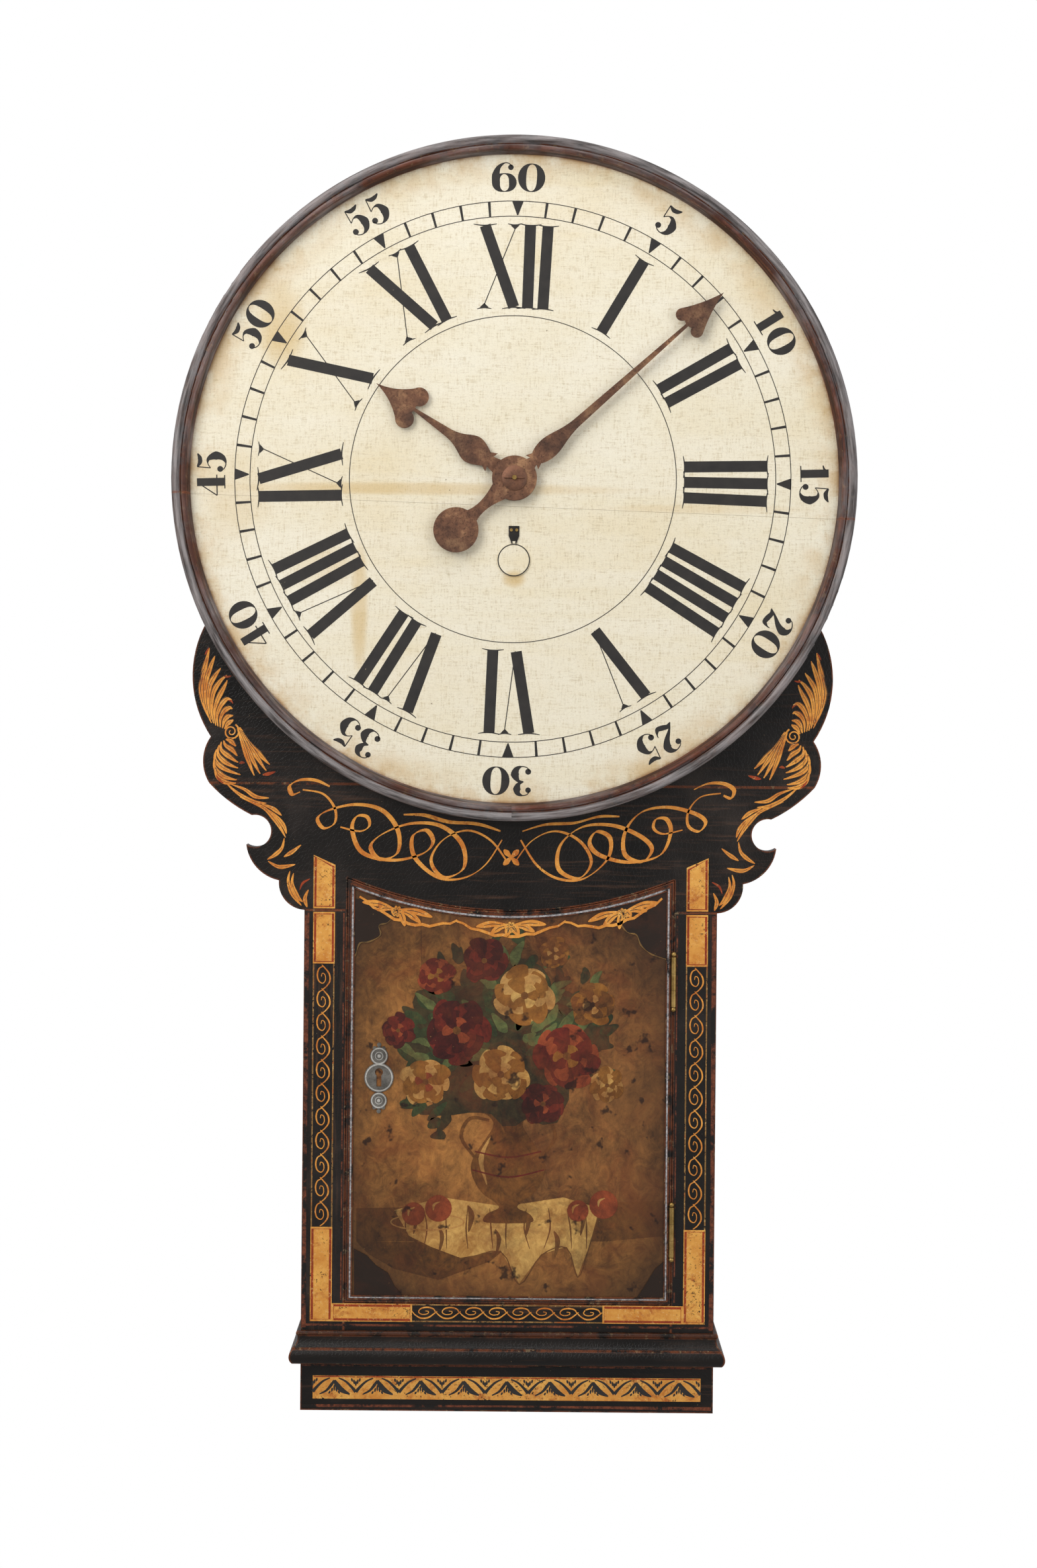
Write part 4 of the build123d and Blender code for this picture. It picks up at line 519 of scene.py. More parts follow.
# Twisted gut: waxy, pale brown, with the twist as a ripple
def twistedGut(name):
    finish, add, where = startFinish(name)
    wave = {"Vector": where, "Scale": 1000 / 7.692, "Distortion": 1.5}
    twist = add("TexWave", wave, 1, bands_direction="Z")
    base = add("ValToRGB", {0: twist}, stops=[(0.2, "8a6a3d"), (0.8, "c09a62")])
    rough = add("ValToRGB", {0: twist}, stops=[(0.0, 0.5), (1.0, 0.4)])
    endFinish(add, {"IOR": 1.5, "Subsurface Weight": 0.1}, base, rough, twist, 0.4, 0.4)
    return finish


# A shape laid on a board is a stroke of changing width, or a filled outline; both become closed thin solids
def layStroke(bm, points, widths, back, front, closed=False):
    count = len(points)
    rows = []
    for index in range(count):
        before = points[(index - 1) % count] if closed or index > 0 else points[index]
        after = points[(index + 1) % count] if closed or index < count - 1 else points[index]
        along = Vector((after[0] - before[0], after[1] - before[1]))
        if along.length < 1e-9:
            along = Vector((1, 0))
        along.normalize()
        side = Vector((-along.y, along.x)) * max(widths[index], 0.05) / 2
        row = []
        for depth in (back, front):
            for way in (1, -1):
                x, height = points[index]
                row.append(bm.verts.new(place(x + side.x * way, depth, height + side.y * way)))
        rows.append(row)
    for index in range(count if closed else count - 1):
        first, second = rows[index], rows[(index + 1) % count]
        for a, b in ((0, 1), (1, 3), (3, 2), (2, 0)):
            bm.faces.new((first[a], first[b], second[b], second[a]))
    if not closed:
        for row in (rows[0], rows[-1]):
            bm.faces.new((row[0], row[1], row[3], row[2]))


def layFill(bm, outline, back, front):
    flat = [Vector((x, height, 0)) for x, height in outline]
    triangles = tessellate_polygon([flat])
    low = [bm.verts.new(place(x, back, height)) for x, height in outline]
    high = [bm.verts.new(place(x, front, height)) for x, height in outline]
    for a, b, c in triangles:
        bm.faces.new((low[a], low[b], low[c]))
        bm.faces.new((high[c], high[b], high[a]))
    count = len(outline)
    for index in range(count):
        after = (index + 1) % count
        bm.faces.new((low[index], low[after], high[after], high[index]))


def finishPiece(bm, name, finish, body):
    bmesh.ops.recalc_face_normals(bm, faces=bm.faces)
    mesh = bpy.data.meshes.new(name)
    bm.to_mesh(mesh)
    bm.free()
    piece = bpy.data.objects.new(name, mesh)
    scene.collection.objects.link(piece)
    mesh.materials.append(finish)
    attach(piece, body)
    return piece


# Each shape stands a hair above the one before it, in mm, so that no two faces lie in one plane
layerStep = {"rise": 0.004, "steps": 9}


def inlay(name, finish, body, back, thick, strokes=(), fills=(), loops=()):
    bm = bmesh.new()
    shapes = [("fill", outline, None) for outline in fills]
    shapes += [("loop", *shape) for shape in loops] + [("stroke", *shape) for shape in strokes]
    for index, (kind, points, widths) in enumerate(shapes):
        front = back + thick + layerStep["rise"] * (index % layerStep["steps"])
        if kind == "fill":
            layFill(bm, points, back, front)
        else:
            layStroke(bm, points, widths, back, front, closed=kind == "loop")
    return finishPiece(bm, name, finish, body)


# A smooth line through the points, with its width running evenly from one to the next
def curve(points, widths, steps=6):
    smoothPoints = []
    smoothWidths = []
    last = len(points) - 1
    for index in range(last):
        p0 = points[max(index - 1, 0)]
        p1, p2 = points[index], points[index + 1]
        p3 = points[min(index + 2, last)]
        for step in range(steps):
            t = step / steps
            spot = []
            for a, b, c, d in zip(p0, p1, p2, p3):
                second = 2 * a - 5 * b + 4 * c - d
                third = 3 * b - a - 3 * c + d
                spot.append(0.5 * (2 * b + (c - a) * t + second * t * t + third * t ** 3))
            smoothPoints.append(tuple(spot))
            smoothWidths.append(widths[index] + (widths[index + 1] - widths[index]) * t)
    smoothPoints.append(points[-1])
    smoothWidths.append(widths[-1])
    return smoothPoints, smoothWidths


def smoothLine(points, steps=6):
    return curve(points, [1] * len(points), steps)[0]


# A leaf along a line, widest at its full share of the length
def leaf(points, width, full=0.45):
    line = smoothLine(points)
    widths = []
    for index in range(len(line)):
        t = index / (len(line) - 1)
        swell = t / full if t < full else (1 - t) / (1 - full)
        widths.append(width * max(swell, 0.04) ** 0.6)
    return line, widths


def circle(x, height, radius, sides=24):
    turns = [2 * math.pi * k / sides for k in range(sides)]
    return [(x + radius * math.cos(turn), height + radius * math.sin(turn)) for turn in turns]


def midway(first, second):
    return ((first[0] + second[0]) / 2, (first[1] + second[1]) / 2)


def mirrored(shapes):
    return [([(-x, height) for x, height in points], widths) for points, widths in shapes]


print("materials")
japan = blackJapan("blackJapanUpright")
japanLevel = blackJapan("blackJapanLevel", "level")
japanRing = blackJapan("blackJapanTurned", "ring")
deal = bareDeal("oldDeal")
cream = dialPaint("creamOilPaint")
ink = numeralBlack("lampblackPaint")
gilt = wornGilding("wornGoldLeaf", "f7ab4a", "d2762a", "241913", 0.63)
giltPale = wornGilding("tonedGoldLeaf", "f9b95a", "dc8a36", "3a2316", 0.59)
giltDull = wornGilding("dirtyGoldLeaf", "a8804a", "7d5427", "1e1713", 0.56)
bole = wornGilding("redBole", "b0441c", "7c2c18", "241510", 0.64)
rubbed = rubbedGround("rubbedRedGround", "7c4128", "4c2618", 0.5)
whiting = rubbedGround("wornWhiting", "b9b5b6", "6f6a6a", 0.6)
blackLine = numeralBlack("blackLiningPaint")
iron = brownedIron("brownedIron")
brass = oldMetal("agedBrass", "c0a063", "94753f", "5c4526")
collet = oldMetal("rustedCollet", "8a5f48", "573d30", "2c211b", 0.5, 0.45, 0.6)
steel = oldMetal("filedSteel", "9a9691", "76716b", "4a4038", 1.0, 0.35, 0.5, (0.1, 1, 1))
castIron = oldMetal("castIron", "3a3735", "262423", "4a3528", 0.6, 0.5, 0.7)
silver = oldMetal("silveredBrass", "8f8b84", "5e5a55", "2e2822", 0.8, 0.35, 0.5)
rimSilver = oldMetal("paleRimSilver", "e2dfd8", "b3afa8", "5b5148", 0.7, 0.3, 0.45)
blackIron = oldMetal("blackenedIron", "2b2725", "1b1918", "3d2e26", 0.4, 0.5, 0.65)
gut = twistedGut("twistedGut")

finishes = {
    "black_japan": japan,
    "bare_wood": deal,
    "dial_paint": cream,
    "cover_paint": cream,
    "black_iron": blackIron,
    "browned_iron": iron,
    "brass": brass,
    "steel": steel,
    "iron": castIron,
    "silvered": silver,
    "gut": gut,
}
levelGrain = ("base_moulding", "plinth_front", "bottom_rail", "apron_upper", "apron_lower")
for row in frame["record"]["subparts"]:
    node = nodes[row["node"]]
    finish = finishes[row["material_slot"]]
    if row["node"] in levelGrain:
        finish = japanLevel
    if row["node"].startswith("bezel"):
        finish = japanRing
    if row["node"] in ("hand_washer", "taper_pin"):
        finish = collet
    node.data.materials.clear()
    node.data.materials.append(finish)

print("camera and studio")
addCamera()
addStudio()

# Dial painting
dialArt = {
    "shiftX": -1.8,
    "shiftUp": -0.6,
    "turn": 0.55,           # the painter's twelve stands this far clockwise, degrees
    "trackOuter": 310.5,
    "trackInner": 293.5,
    "numeralOuter": 283.5,
    "numeralInner": 192,
    "innerCircle": 182.5,
    "lineWidth": 0.85,
    "barWidth": 12.3,
    "tickWidth": 3.0,
    "triangleWidth": 13,
    "digitMiddle": 337,
    "paintThick": 0.12,
    "fan": 0.35,
    "flare": 1.6,           # how far the ends of a serif curl out past the bar
    "serif": (0.7, 1.7, 0.7),
}


# A point of the dial: turn clockwise from twelve, u to the right of that line, r out from the centre
def onDial(turn, u, r):
    angle = math.radians(turn + dialArt["turn"])
    x = r * math.sin(angle) + u * math.cos(angle)
    height = r * math.cos(angle) - u * math.sin(angle)
    return (x + dialArt["shiftX"], height + clock["dialHeight"] + dialArt["shiftUp"])


def dialArc(radius, start, end, steps):
    return [onDial(start + (end - start) * k / steps, 0, radius) for k in range(steps + 1)]


letterGap = {"II": 18.4, "XI": 33, "IX": 33, "VI": 29.5, "IV": 29.5}
numerals = ["XII", "I", "II", "III", "IIII", "V", "VI", "VII", "VIII", "IX", "X", "XI"]


def letterSpots(letters):
    spots = [0]
    for pair in zip(letters, letters[1:]):
        spots.append(spots[-1] + letterGap["".join(pair)])
    half = {"I": 6.2, "V": 17, "X": 19}
    left = -half[letters[0]]
    right = spots[-1] + half[letters[-1]]
    return [spot - (left + right) / 2 for spot in spots]


def paintNumerals():
    outer, inner = dialArt["numeralOuter"], dialArt["numeralInner"]
    middle = (outer + inner) / 2
    thick = dialArt["barWidth"]
    strokes = []
    fills = []
    for hour, letters in enumerate(numerals):
        for letter, spot in zip(letters, letterSpots(letters)):
            share = math.degrees(spot / middle)
            turn = hour * 30 + share * dialArt["fan"]
            base = spot * (1 - dialArt["fan"])

            def at(u, r, turn=turn, base=base):
                return onDial(turn, base + u, r)

            if letter == "I":
                strokes.append(([at(0, inner), at(0, outer)], [thick, thick]))
                feet = ((0, inner, thick / 2 + 6), (0, outer, thick / 2 + 6))
            elif letter == "V":
                strokes.append(([at(1.5, inner + 0.4), at(-13, outer)], [thick, thick]))
                strokes.append(([at(2.5, inner), at(14, outer - 4)], [1, 1]))
                feet = ((-13, outer, thick / 2 + 6), (14, outer, 7.5))
                fills.append([at(9.5, outer - 0.2), at(18.5, outer - 0.2), at(13.9, outer - 5)])
            else:
                strokes.append(([at(15.5, inner), at(-15.5, outer)], [thick, thick]))
                strokes.append(([at(-17.5, inner + 3), at(18, outer - 4)], [1, 1]))
                feet = ((-15.5, outer, 13), (15.5, inner, 13), (18, outer, 8), (-17.5, inner, 8))
                fills.append([at(13, outer - 0.2), at(23, outer - 0.2), at(17.8, outer - 5)])
                fills.append([at(-22.5, inner + 0.2), at(-12.5, inner + 0.2), at(-17.4, inner + 5)])
            for u, r, half in feet:
                end = r + (dialArt["flare"] if r > middle else -dialArt["flare"])
                serif = [at(u - half, end), at(u, r), at(u + half, end)]
                strokes.append(curve(serif, dialArt["serif"], 4))
    # The hand-painted triangles and ticks of the minute track
    for minute in range(60):
        turn = minute * 6
        if minute % 5 == 0:
            half = dialArt["triangleWidth"] / 2
            fills.append(
                [
                    onDial(turn, -half, dialArt["trackOuter"]),
                    onDial(turn, half, dialArt["trackOuter"]),
                    onDial(turn, 0.6, dialArt["trackInner"] + 1.2),
                    onDial(turn, -0.6, dialArt["trackInner"] + 1.2),
                ]
            )
        else:
            wide = dialArt["tickWidth"]
            strokes.append(
                (
                    [onDial(turn, 0, dialArt["trackInner"]), onDial(turn, 0.4, dialArt["trackOuter"])],
                    [wide * 0.8, wide],
                )
            )
    loops = []
    for radius in (dialArt["trackOuter"], dialArt["trackInner"], dialArt["innerCircle"]):
        points = dialArc(radius, 0, 360, 180)[:-1]
        loops.append((points, [dialArt["lineWidth"]] * len(points)))
    front, thick = clock["dialFront"], dialArt["paintThick"]
    inlay("dialNumerals", ink, "case", front, thick, strokes, fills, loops)


# Figures of the minute ring, drawn as a pen draws them: hairlines and swelling strokes. A line is
# its points and their widths, in mm; a loop is its middle, its half sizes, and how full each side is
digitStrokes = {
    "0": {"loops": [(0, 0, 10.6, 15.4, 9.2, 9.2)]},
    "6": {
        "loops": [(0.2, -5.8, 9.4, 9.9, 9.0, 8.6)],
        "lines": [
            (
                [(-9.2, -6), (-9.0, 3), (-5.6, 11.4), (1, 16), (6, 15.4), (9, 12)],
                [9, 8.6, 4.6, 1.2, 0.9, 1.2],
            ),
        ],
        "dots": [(8, 11, 3.1)],
    },
    "1": {
        "lines": [
            ([(0.5, -15), (0.5, 15.6)], [9, 9]),
            ([(-8.5, -15.4), (9.5, -15.4)], [1.2, 1.2]),
            ([(-8.5, 9.5), (-4, 11), (-1.5, 15.2)], [1, 2.5, 1.5]),
        ]
    },
    "2": {
        "lines": [
            (
                [(-8.2, 8.5), (-7.4, 13), (-1, 16), (5, 13.4), (6.6, 8), (3, 1), (-4.5, -7), (-9.8, -14.5)],
                [1, 1, 1.2, 6, 9.2, 6, 2.6, 1],
            ),
            (
                [(-9.8, -14.2), (-5, -11.6), (1, -13.2), (6.5, -14), (9.6, -9.5), (10.2, -6)],
                [1.2, 5, 6, 5.4, 1.6, 0.8],
            ),
        ],
        "dots": [(-7, 8.8, 3.2)],
    },
    "3": {
        "lines": [
            (
                [(-8, 11), (-6, 14.8), (-0.6, 16.2), (4.6, 13.6), (5.6, 8.6), (3.2, 3), (-2, 0.8)],
                [1, 1, 1.2, 5.4, 8.6, 4, 0.9],
            ),
            (
                [(-2, 0.8), (3.6, -0.4), (7.2, -7.4), (5, -13.4), (-0.6, -16.2), (-6.6, -14.6), (-9, -10.6)],
                [0.9, 3.4, 9.6, 6, 1.2, 1, 1],
            ),
        ],
        "dots": [(-6.8, 10.4, 3.1), (-7.6, -10.2, 3.3)],
    },
    "4": {
        "lines": [
            ([(3.6, -15), (3.6, 15.6)], [8.8, 8.8]),
            ([(3.4, 15.4), (-11.4, -6.4)], [1.2, 1.2]),
            ([(-11.6, -6.6), (11.6, -6.6)], [1.3, 1.3]),
            ([(-4, -15.4), (11, -15.4)], [1.2, 1.2]),
        ]
    },
    "5": {
        "lines": [
            ([(-6.4, 15.4), (-1, 12.8), (4, 13.4), (8.4, 16)], [1.4, 5, 4.6, 1]),
            ([(-6.4, 15.6), (-6.8, 0.6)], [1.1, 1.1]),
            (
                [
                    (-6.8, 0.6), (-2, 4), (3.4, 3.2), (7.2, -4.6),
                    (5.2, -12.4), (-0.8, -16.2), (-6.8, -14.4), (-9, -10.6),
                ],
                [0.9, 1, 4.4, 9.6, 6, 1.2, 1, 1],
            ),
        ],
        "dots": [(-7.4, -10.2, 3.3)],
    },
}
digitHalf = {"0": 15.2, "1": 9.5, "2": 11.5, "3": 12, "4": 12.5, "5": 12, "6": 14}


def paintFigures():
    strokes = []
    fills = []
    loops = []
    for step in range(1, 13):
        text = str(step * 5)
        widths = [2 * digitHalf[letter] for letter in text]
        gap = 1.6
        total = sum(widths) + gap * (len(text) - 1)
        start = -total / 2
        for letter, wide in zip(text, widths):
            middle = start + wide / 2
            start += wide + gap
            turn = step * 30 + math.degrees(middle / dialArt["digitMiddle"])

            def at(u, v, turn=turn):
                return onDial(turn, u, dialArt["digitMiddle"] + v)

            glyph = digitStrokes[letter]
            for x, y, wideHalf, tallHalf, left, right in glyph.get("loops", ()):
                points = []
                pen = []
                for k in range(40):
                    angle = 2 * math.pi * k / 40
                    across = math.cos(angle)
                    full = right if across > 0 else left
                    points.append(at(x + wideHalf * across, y + tallHalf * math.sin(angle)))
                    pen.append(0.9 + (full - 0.9) * abs(across) ** 1.7)
                loops.append((points, pen))
            for points, pen in glyph.get("lines", ()):
                drawn = [at(u, v) for u, v in points]
                strokes.append((drawn, pen) if len(drawn) == 2 else curve(drawn, pen, 7))
            for u, v, radius in glyph.get("dots", ()):
                x, height = at(u, v)
                fills.append(circle(x, height, radius, 18))
    front, thick = clock["dialFront"], dialArt["paintThick"]
    inlay("minuteFigures", ink, "case", front, thick, strokes, fills, loops)


print("dial painting")
paintNumerals()
paintFigures()

# A thin dark rim round the winding cover, painted shade for the gap round it, bright nail heads on
# its strap, and the turned rims of the escutcheon with a rivet in each small boss
smallArt = {
    "coverRadius": 17.5,
    "coverFront": 184.6,
    "rim": 1.2,
    "nailRadius": 1.7,
    "nailSpread": 3,
    "nailRise": 33.7,
    "nailTall": 0.35,
    "lockX": -146.5,
    "lockHeight": 374.5,
    "plateFront": 166.6,
    "bosses": ((0, 14.8), (24.3, 8.6), (-25.7, 7.9)),   # height from the keyhole and radius
    "bossRim": 1.5,
    "innerRim": 0.7,
    "rivet": 1.8,
}


def addSmallWork():
    a = smallArt
    height = clock["dialHeight"] - clock["windingDrop"]
    ringPoints = circle(0, height, a["coverRadius"], 48)
    ring = [(ringPoints, [a["rim"]] * len(ringPoints))]
    # Painted shade: a dark ring at the cover's edge stands in for the shade in the gap round it
    inlay("coverRim", ink, "cover", a["coverFront"] - 0.05, 0.1, loops=ring)
    heads = [circle(way * a["nailSpread"], height + a["nailRise"], a["nailRadius"], 16) for way in (-1, 1)]
    inlay("strapNails", brass, "case", a["coverFront"] - 0.2, a["nailTall"], fills=heads)
    rims = []
    rivets = []
    for rise, radius in a["bosses"]:
        middle = (a["lockX"], a["lockHeight"] + rise)
        rims.append((circle(*middle, radius, 40), [a["bossRim"]] * 40))
        if rise:
            rims.append((circle(*middle, radius * 0.5, 28), [a["innerRim"]] * 28))
            rivets.append(circle(*middle, a["rivet"], 16))
    # The rims and rivets are laid in a paler silver than the plate
    inlay("escutcheonRims", rimSilver, "door", a["plateFront"], 0.4, loops=rims)
    inlay("escutcheonRivets", rimSilver, "door", a["plateFront"], 0.7, fills=rivets)


addSmallWork()

# Gilt ornament of the apron and ears. The ear's u and v were measured on an enlargement that starts
# at left and top in the photograph and has that many of them to a pixel
earArt = {
    "left": 270,
    "top": 960,
    "toPixel": 3.015,
    "toMm": 0.744 / 3.015,
    "thick": 0.18,
    "lineThick": 0.26,
    "leafWidth": 24,
    "vein": 0.5,
    "bigLeaves": 21,        # the first leaves, which are full width and have a dark edge
}


def onEar(u, v):
    toPixel = earArt["toPixel"]
    return fromPhoto(earArt["left"] + u / toPixel, earArt["top"] + v / toPixel, clock["caseFront"])


def earShapes():
    wide = earArt["leafWidth"] * earArt["toMm"]
    gold = []
    vein = []
    red = []
    leaves = [
        [(150, 400), (118, 330), (102, 260), (106, 200), (118, 150)],
        [(120, 330), (106, 250), (112, 180), (128, 110), (140, 58)],
        [(136, 362), (120, 280), (127, 200), (150, 130), (165, 95)],
        [(150, 385), (134, 310), (142, 230), (170, 178), (192, 150)],
        [(160, 402), (149, 340), (158, 262), (190, 208), (220, 182)],
        [(170, 412), (162, 350), (178, 292), (205, 240), (222, 205)],
        [(180, 416), (174, 370), (192, 320), (220, 290), (243, 296)],
        [(190, 420), (190, 380), (206, 346), (232, 330), (246, 336)],
        [(200, 424), (206, 392), (224, 370), (249, 366)],
        [(210, 428), (224, 402), (250, 386)],
        [(268, 420), (286, 470), (315, 560), (345, 640)],
        [(272, 420), (300, 480), (335, 560), (372, 632)],
        [(276, 420), (311, 482), (356, 552), (400, 618)],
        [(280, 420), (322, 490), (372, 545), (416, 590)],
        [(215, 475), (236, 480), (262, 506)],
        [(205, 480), (216, 502), (245, 522), (268, 550)],
        [(195, 485), (196, 522), (230, 552), (272, 580)],
        [(185, 500), (181, 542), (215, 580), (272, 606)],
        [(173, 520), (168, 566), (205, 606), (282, 636)],
        [(166, 550), (166, 602), (205, 642), (266, 660)],
        [(165, 590), (176, 642), (216, 670), (262, 674)],
        [(215, 672), (270, 720), (340, 758), (400, 766)],
        [(240, 680), (300, 702), (352, 736), (412, 742)],
        [(280, 738), (340, 764), (392, 790), (430, 830), (465, 880), (488, 922)],
        [(380, 770), (430, 790), (470, 822)],
        [(400, 790), (450, 830), (480, 870), (492, 905)],
        [(482, 925), (471, 970), (441, 1000), (405, 1022)],
        [(558, 956), (520, 986), (480, 1010)],
        [(408, 1030), (460, 1056), (532, 1045)],
        [(508, 1075), (500, 1122), (520, 1182), (560, 1232)],
        [(524, 1085), (518, 1132), (542, 1190), (566, 1216)],
        [(592, 1160), (576, 1200), (586, 1240)],
    ]
    for index, points in enumerate(leaves):
        placed = [onEar(u, v) for u, v in points]
        size = wide * (1.0 if index < earArt["bigLeaves"] else 0.8)
        line, widths = leaf(placed, size, 0.6)
        gold.append((line, widths))
        # A dark line down one side of a leaf parts it from the next, and a short one marks its middle
        edge = []
        for step in range(2, len(line) - 1):
            before, after = line[step - 1], line[step + 1]
            length = math.dist(before, after)
            across = ((before[1] - after[1]) / length, (after[0] - before[0]) / length)
            reach = widths[step] * 0.42
            edge.append((line[step][0] + across[0] * reach, line[step][1] + across[1] * reach))
        if index < earArt["bigLeaves"]:
            vein.append((edge, [earArt["vein"]] * len(edge)))
        middle = line[len(line) // 3:-len(line) // 5]
        if len(middle) > 2:
            vein.append((middle, [earArt["vein"] * 0.7] * len(middle)))
    for points, width in (
        ([(383, 636), (410, 632), (442, 622)], 17),
        ([(205, 185), (222, 190), (240, 186)], 10),
        ([(276, 585), (290, 580), (302, 582)], 13),
        ([(600, 1110), (566, 1130), (552, 1162)], 11),
        ([(226, 296), (240, 300), (248, 312)], 9),
        ([(120, 90), (130, 72), (140, 56)], 8),
        ([(172, 640), (188, 662), (206, 676)], 10),
    ):
        red.append(leaf([onEar(u, v) for u, v in points], width * earArt["toMm"]))
    spiral = []
    for step in range(34):
        angle = math.radians(60 - step * 20)
        radius = 38 - step * 0.98
        spiral.append(onEar(240 + radius * math.cos(angle), 440 - radius * math.sin(angle)))
    gold.append((spiral, [1.9 - 0.025 * k for k in range(34)]))
    return gold, vein, red


def paintEars():
    gold, vein, red = earShapes()
    for side, turned in (("Left", list), ("Right", mirrored)):
        for name, finish, thick, shapes in (
            ("earLeaves", gilt, earArt["thick"], gold),
            ("earVeins", blackLine, earArt["lineThick"], vein),
            ("earTips", bole, earArt["lineThick"], red),
        ):
            inlay(name + side, finish, "case", clock["caseFront"], thick, turned(shapes))


print("gilt ornament")
paintEars()

# A pen flourish along the apron, curved with the dial: looping lines each side of four small leaves
flourishArt = {
    "radius": 424,
    "pen": 4.4,
    "hair": 1.0,
    "nib": 35,              # how the broad nib is held, degrees; strokes that cross it are thick
    "stretch": 1.1,
    "lift": 1.22,
    "run": (
        (4, -4), (22, 15), (48, 22), (72, 10), (80, -11), (65, -24), (47, -13), (52, 9), (78, 22),
        (110, 17), (134, 0), (141, -15), (128, -23), (114, -12), (121, 8), (144, 20), (172, 15),
        (194, -1), (200, -13), (190, -18), (183, -9), (190, 3), (208, 9), (228, 2),
    ),
    "under": (
        (10, 16), (26, -8), (46, -22), (70, -25), (96, -12), (104, 6), (92, 15), (82, 6), (90, -7),
        (116, -20), (146, -23), (164, -8), (166, 5), (156, 9), (150, 2), (157, -6), (176, -10),
    ),
    "over": ((12, 24), (38, 29), (70, 27), (98, 28), (120, 23)),
    "end": ((206, 18), (222, 16), (236, 8), (241, -2), (234, -7), (229, -1)),
}


# s runs along the arc from the middle, t outward from its line towards the dial
def onApron(s, t):
    angle = s * flourishArt["stretch"] / flourishArt["radius"]
    reach = flourishArt["radius"] - t * flourishArt["lift"]
    return (reach * math.sin(angle), clock["dialHeight"] - reach * math.cos(angle))


def penLine(points, steps=7):
    a = flourishArt
    line = smoothLine([onApron(s, t) for s, t in points], steps)
    widths = []
    for index in range(len(line)):
        before = line[max(index - 1, 0)]
        after = line[min(index + 1, len(line) - 1)]
        heading = math.atan2(after[1] - before[1], after[0] - before[0])
        share = abs(math.sin(heading - math.radians(a["nib"])))
        ends = min(1, 3 * index / len(line) + 0.2, 3 * (1 - index / len(line)) + 0.2)
        widths.append(a["hair"] + (a["pen"] - a["hair"]) * 1.25 * share * ends)
    return line, widths


def paintFlourish():
    shapes = []
    for way in (-1, 1):
        for part, steps in (("run", 7), ("under", 7), ("over", 8), ("end", 7)):
            shapes.append(penLine([(way * s, t) for s, t in flourishArt[part]], steps))
    for quarter in range(4):
        angle = math.radians(45 + 90 * quarter)
        s, t = (11 * math.cos(angle), 10 * math.sin(angle))
        shapes.append(leaf([onApron(0, 0), onApron(s * 0.5, t * 0.5), onApron(s, t)], 6.5, 0.6))
    inlay("apronFlourish", gilt, "case", clock["caseFront"], earArt["thick"], shapes)


paintFlourish()

# Gilt bands of the trunk
trunkArt = {
    "thick": 0.15,
    "over": 0.08,           # how far a border stands above its block
    "line": 1.5,
    "border": 2.5,
    "scrollPitch": 26.8,
    "scrollWide": 15.0,
    "stripWide": 13,
    "inner": 197.5,
    "outer": 222,
    "lowTop": 206,
    "lowFoot": 100,
    "stripTop": 121,
    "scrollTop": 502,
    "blockTop": 560,
    "stripEnd": 107,
    "apronFoot": 564,
    "apronOuterTop": 624,
    "apronInnerTop": 613,
    "edge": 232,
    "rub": 5.0,             # width of the rubbed strip along each outer edge
    "rubFoot": 93,
    "rubTop": 559,
    "opening": 187.5,       # the rubbed line beside the door
    "openingFoot": 124,
    # Level rubbed lines on rail and plinth: half length, then heights and widths from end to end
    "level": (
        (228, (96, 96), (2.4, 2.4)),
        (230, (50.5, 50.5, 50.5), (1.8, 1.2, 1.8)),
        (230, (5, 6, 5), (3.4, 2.0, 4.0)),
    ),
}
# One turn of the scroll: share along it, share of its width across, and the pen's width in mm
scrollSwing = (
    (-0.04, 0.12, 0.9), (0.1, -0.2, 1.3), (0.34, -0.47, 1.7), (0.64, -0.42, 1.7), (0.88, -0.1, 1.3),
    (1.02, 0.14, 0.9),
)
scrollCurl = (
    (0.96, 0.02, 0.9), (0.86, 0.34, 1.4), (0.6, 0.47, 1.7), (0.34, 0.36, 1.4), (0.24, 0.06, 1.1),
    (0.38, -0.14, 1.0), (0.6, -0.1, 1.0), (0.66, 0.1, 0.9), (0.52, 0.16, 0.7),
)


def rectangle(left, low, right, high):
    return [(left, low), (right, low), (right, high), (left, high)]


def insetLoop(outline, inset):
    middleX = sum(x for x, _ in outline) / len(outline)
    middleY = sum(y for _, y in outline) / len(outline)
    moved = []
    for x, y in outline:
        moved.append((x - math.copysign(inset, x - middleX), y - math.copysign(inset, y - middleY)))
    return moved


# Running scrolls: each turn swings out to one side and curls back into its own middle
def scrollBand(start, end, wide):
    length = math.dist(start, end)
    along = ((end[0] - start[0]) / length, (end[1] - start[1]) / length)
    across = (-along[1], along[0])
    count = round(length / trunkArt["scrollPitch"])
    pitch = length / count
    shapes = []
    for step in range(count):
        for path in (scrollSwing, scrollCurl):
            points = []
            for run, side, _ in path:
                forward = (step + run) * pitch
                sideways = side * wide
                points.append(tuple(start[k] + along[k] * forward + across[k] * sideways for k in (0, 1)))
            shapes.append(curve(points, [pen for _, _, pen in path], 5))
    return shapes


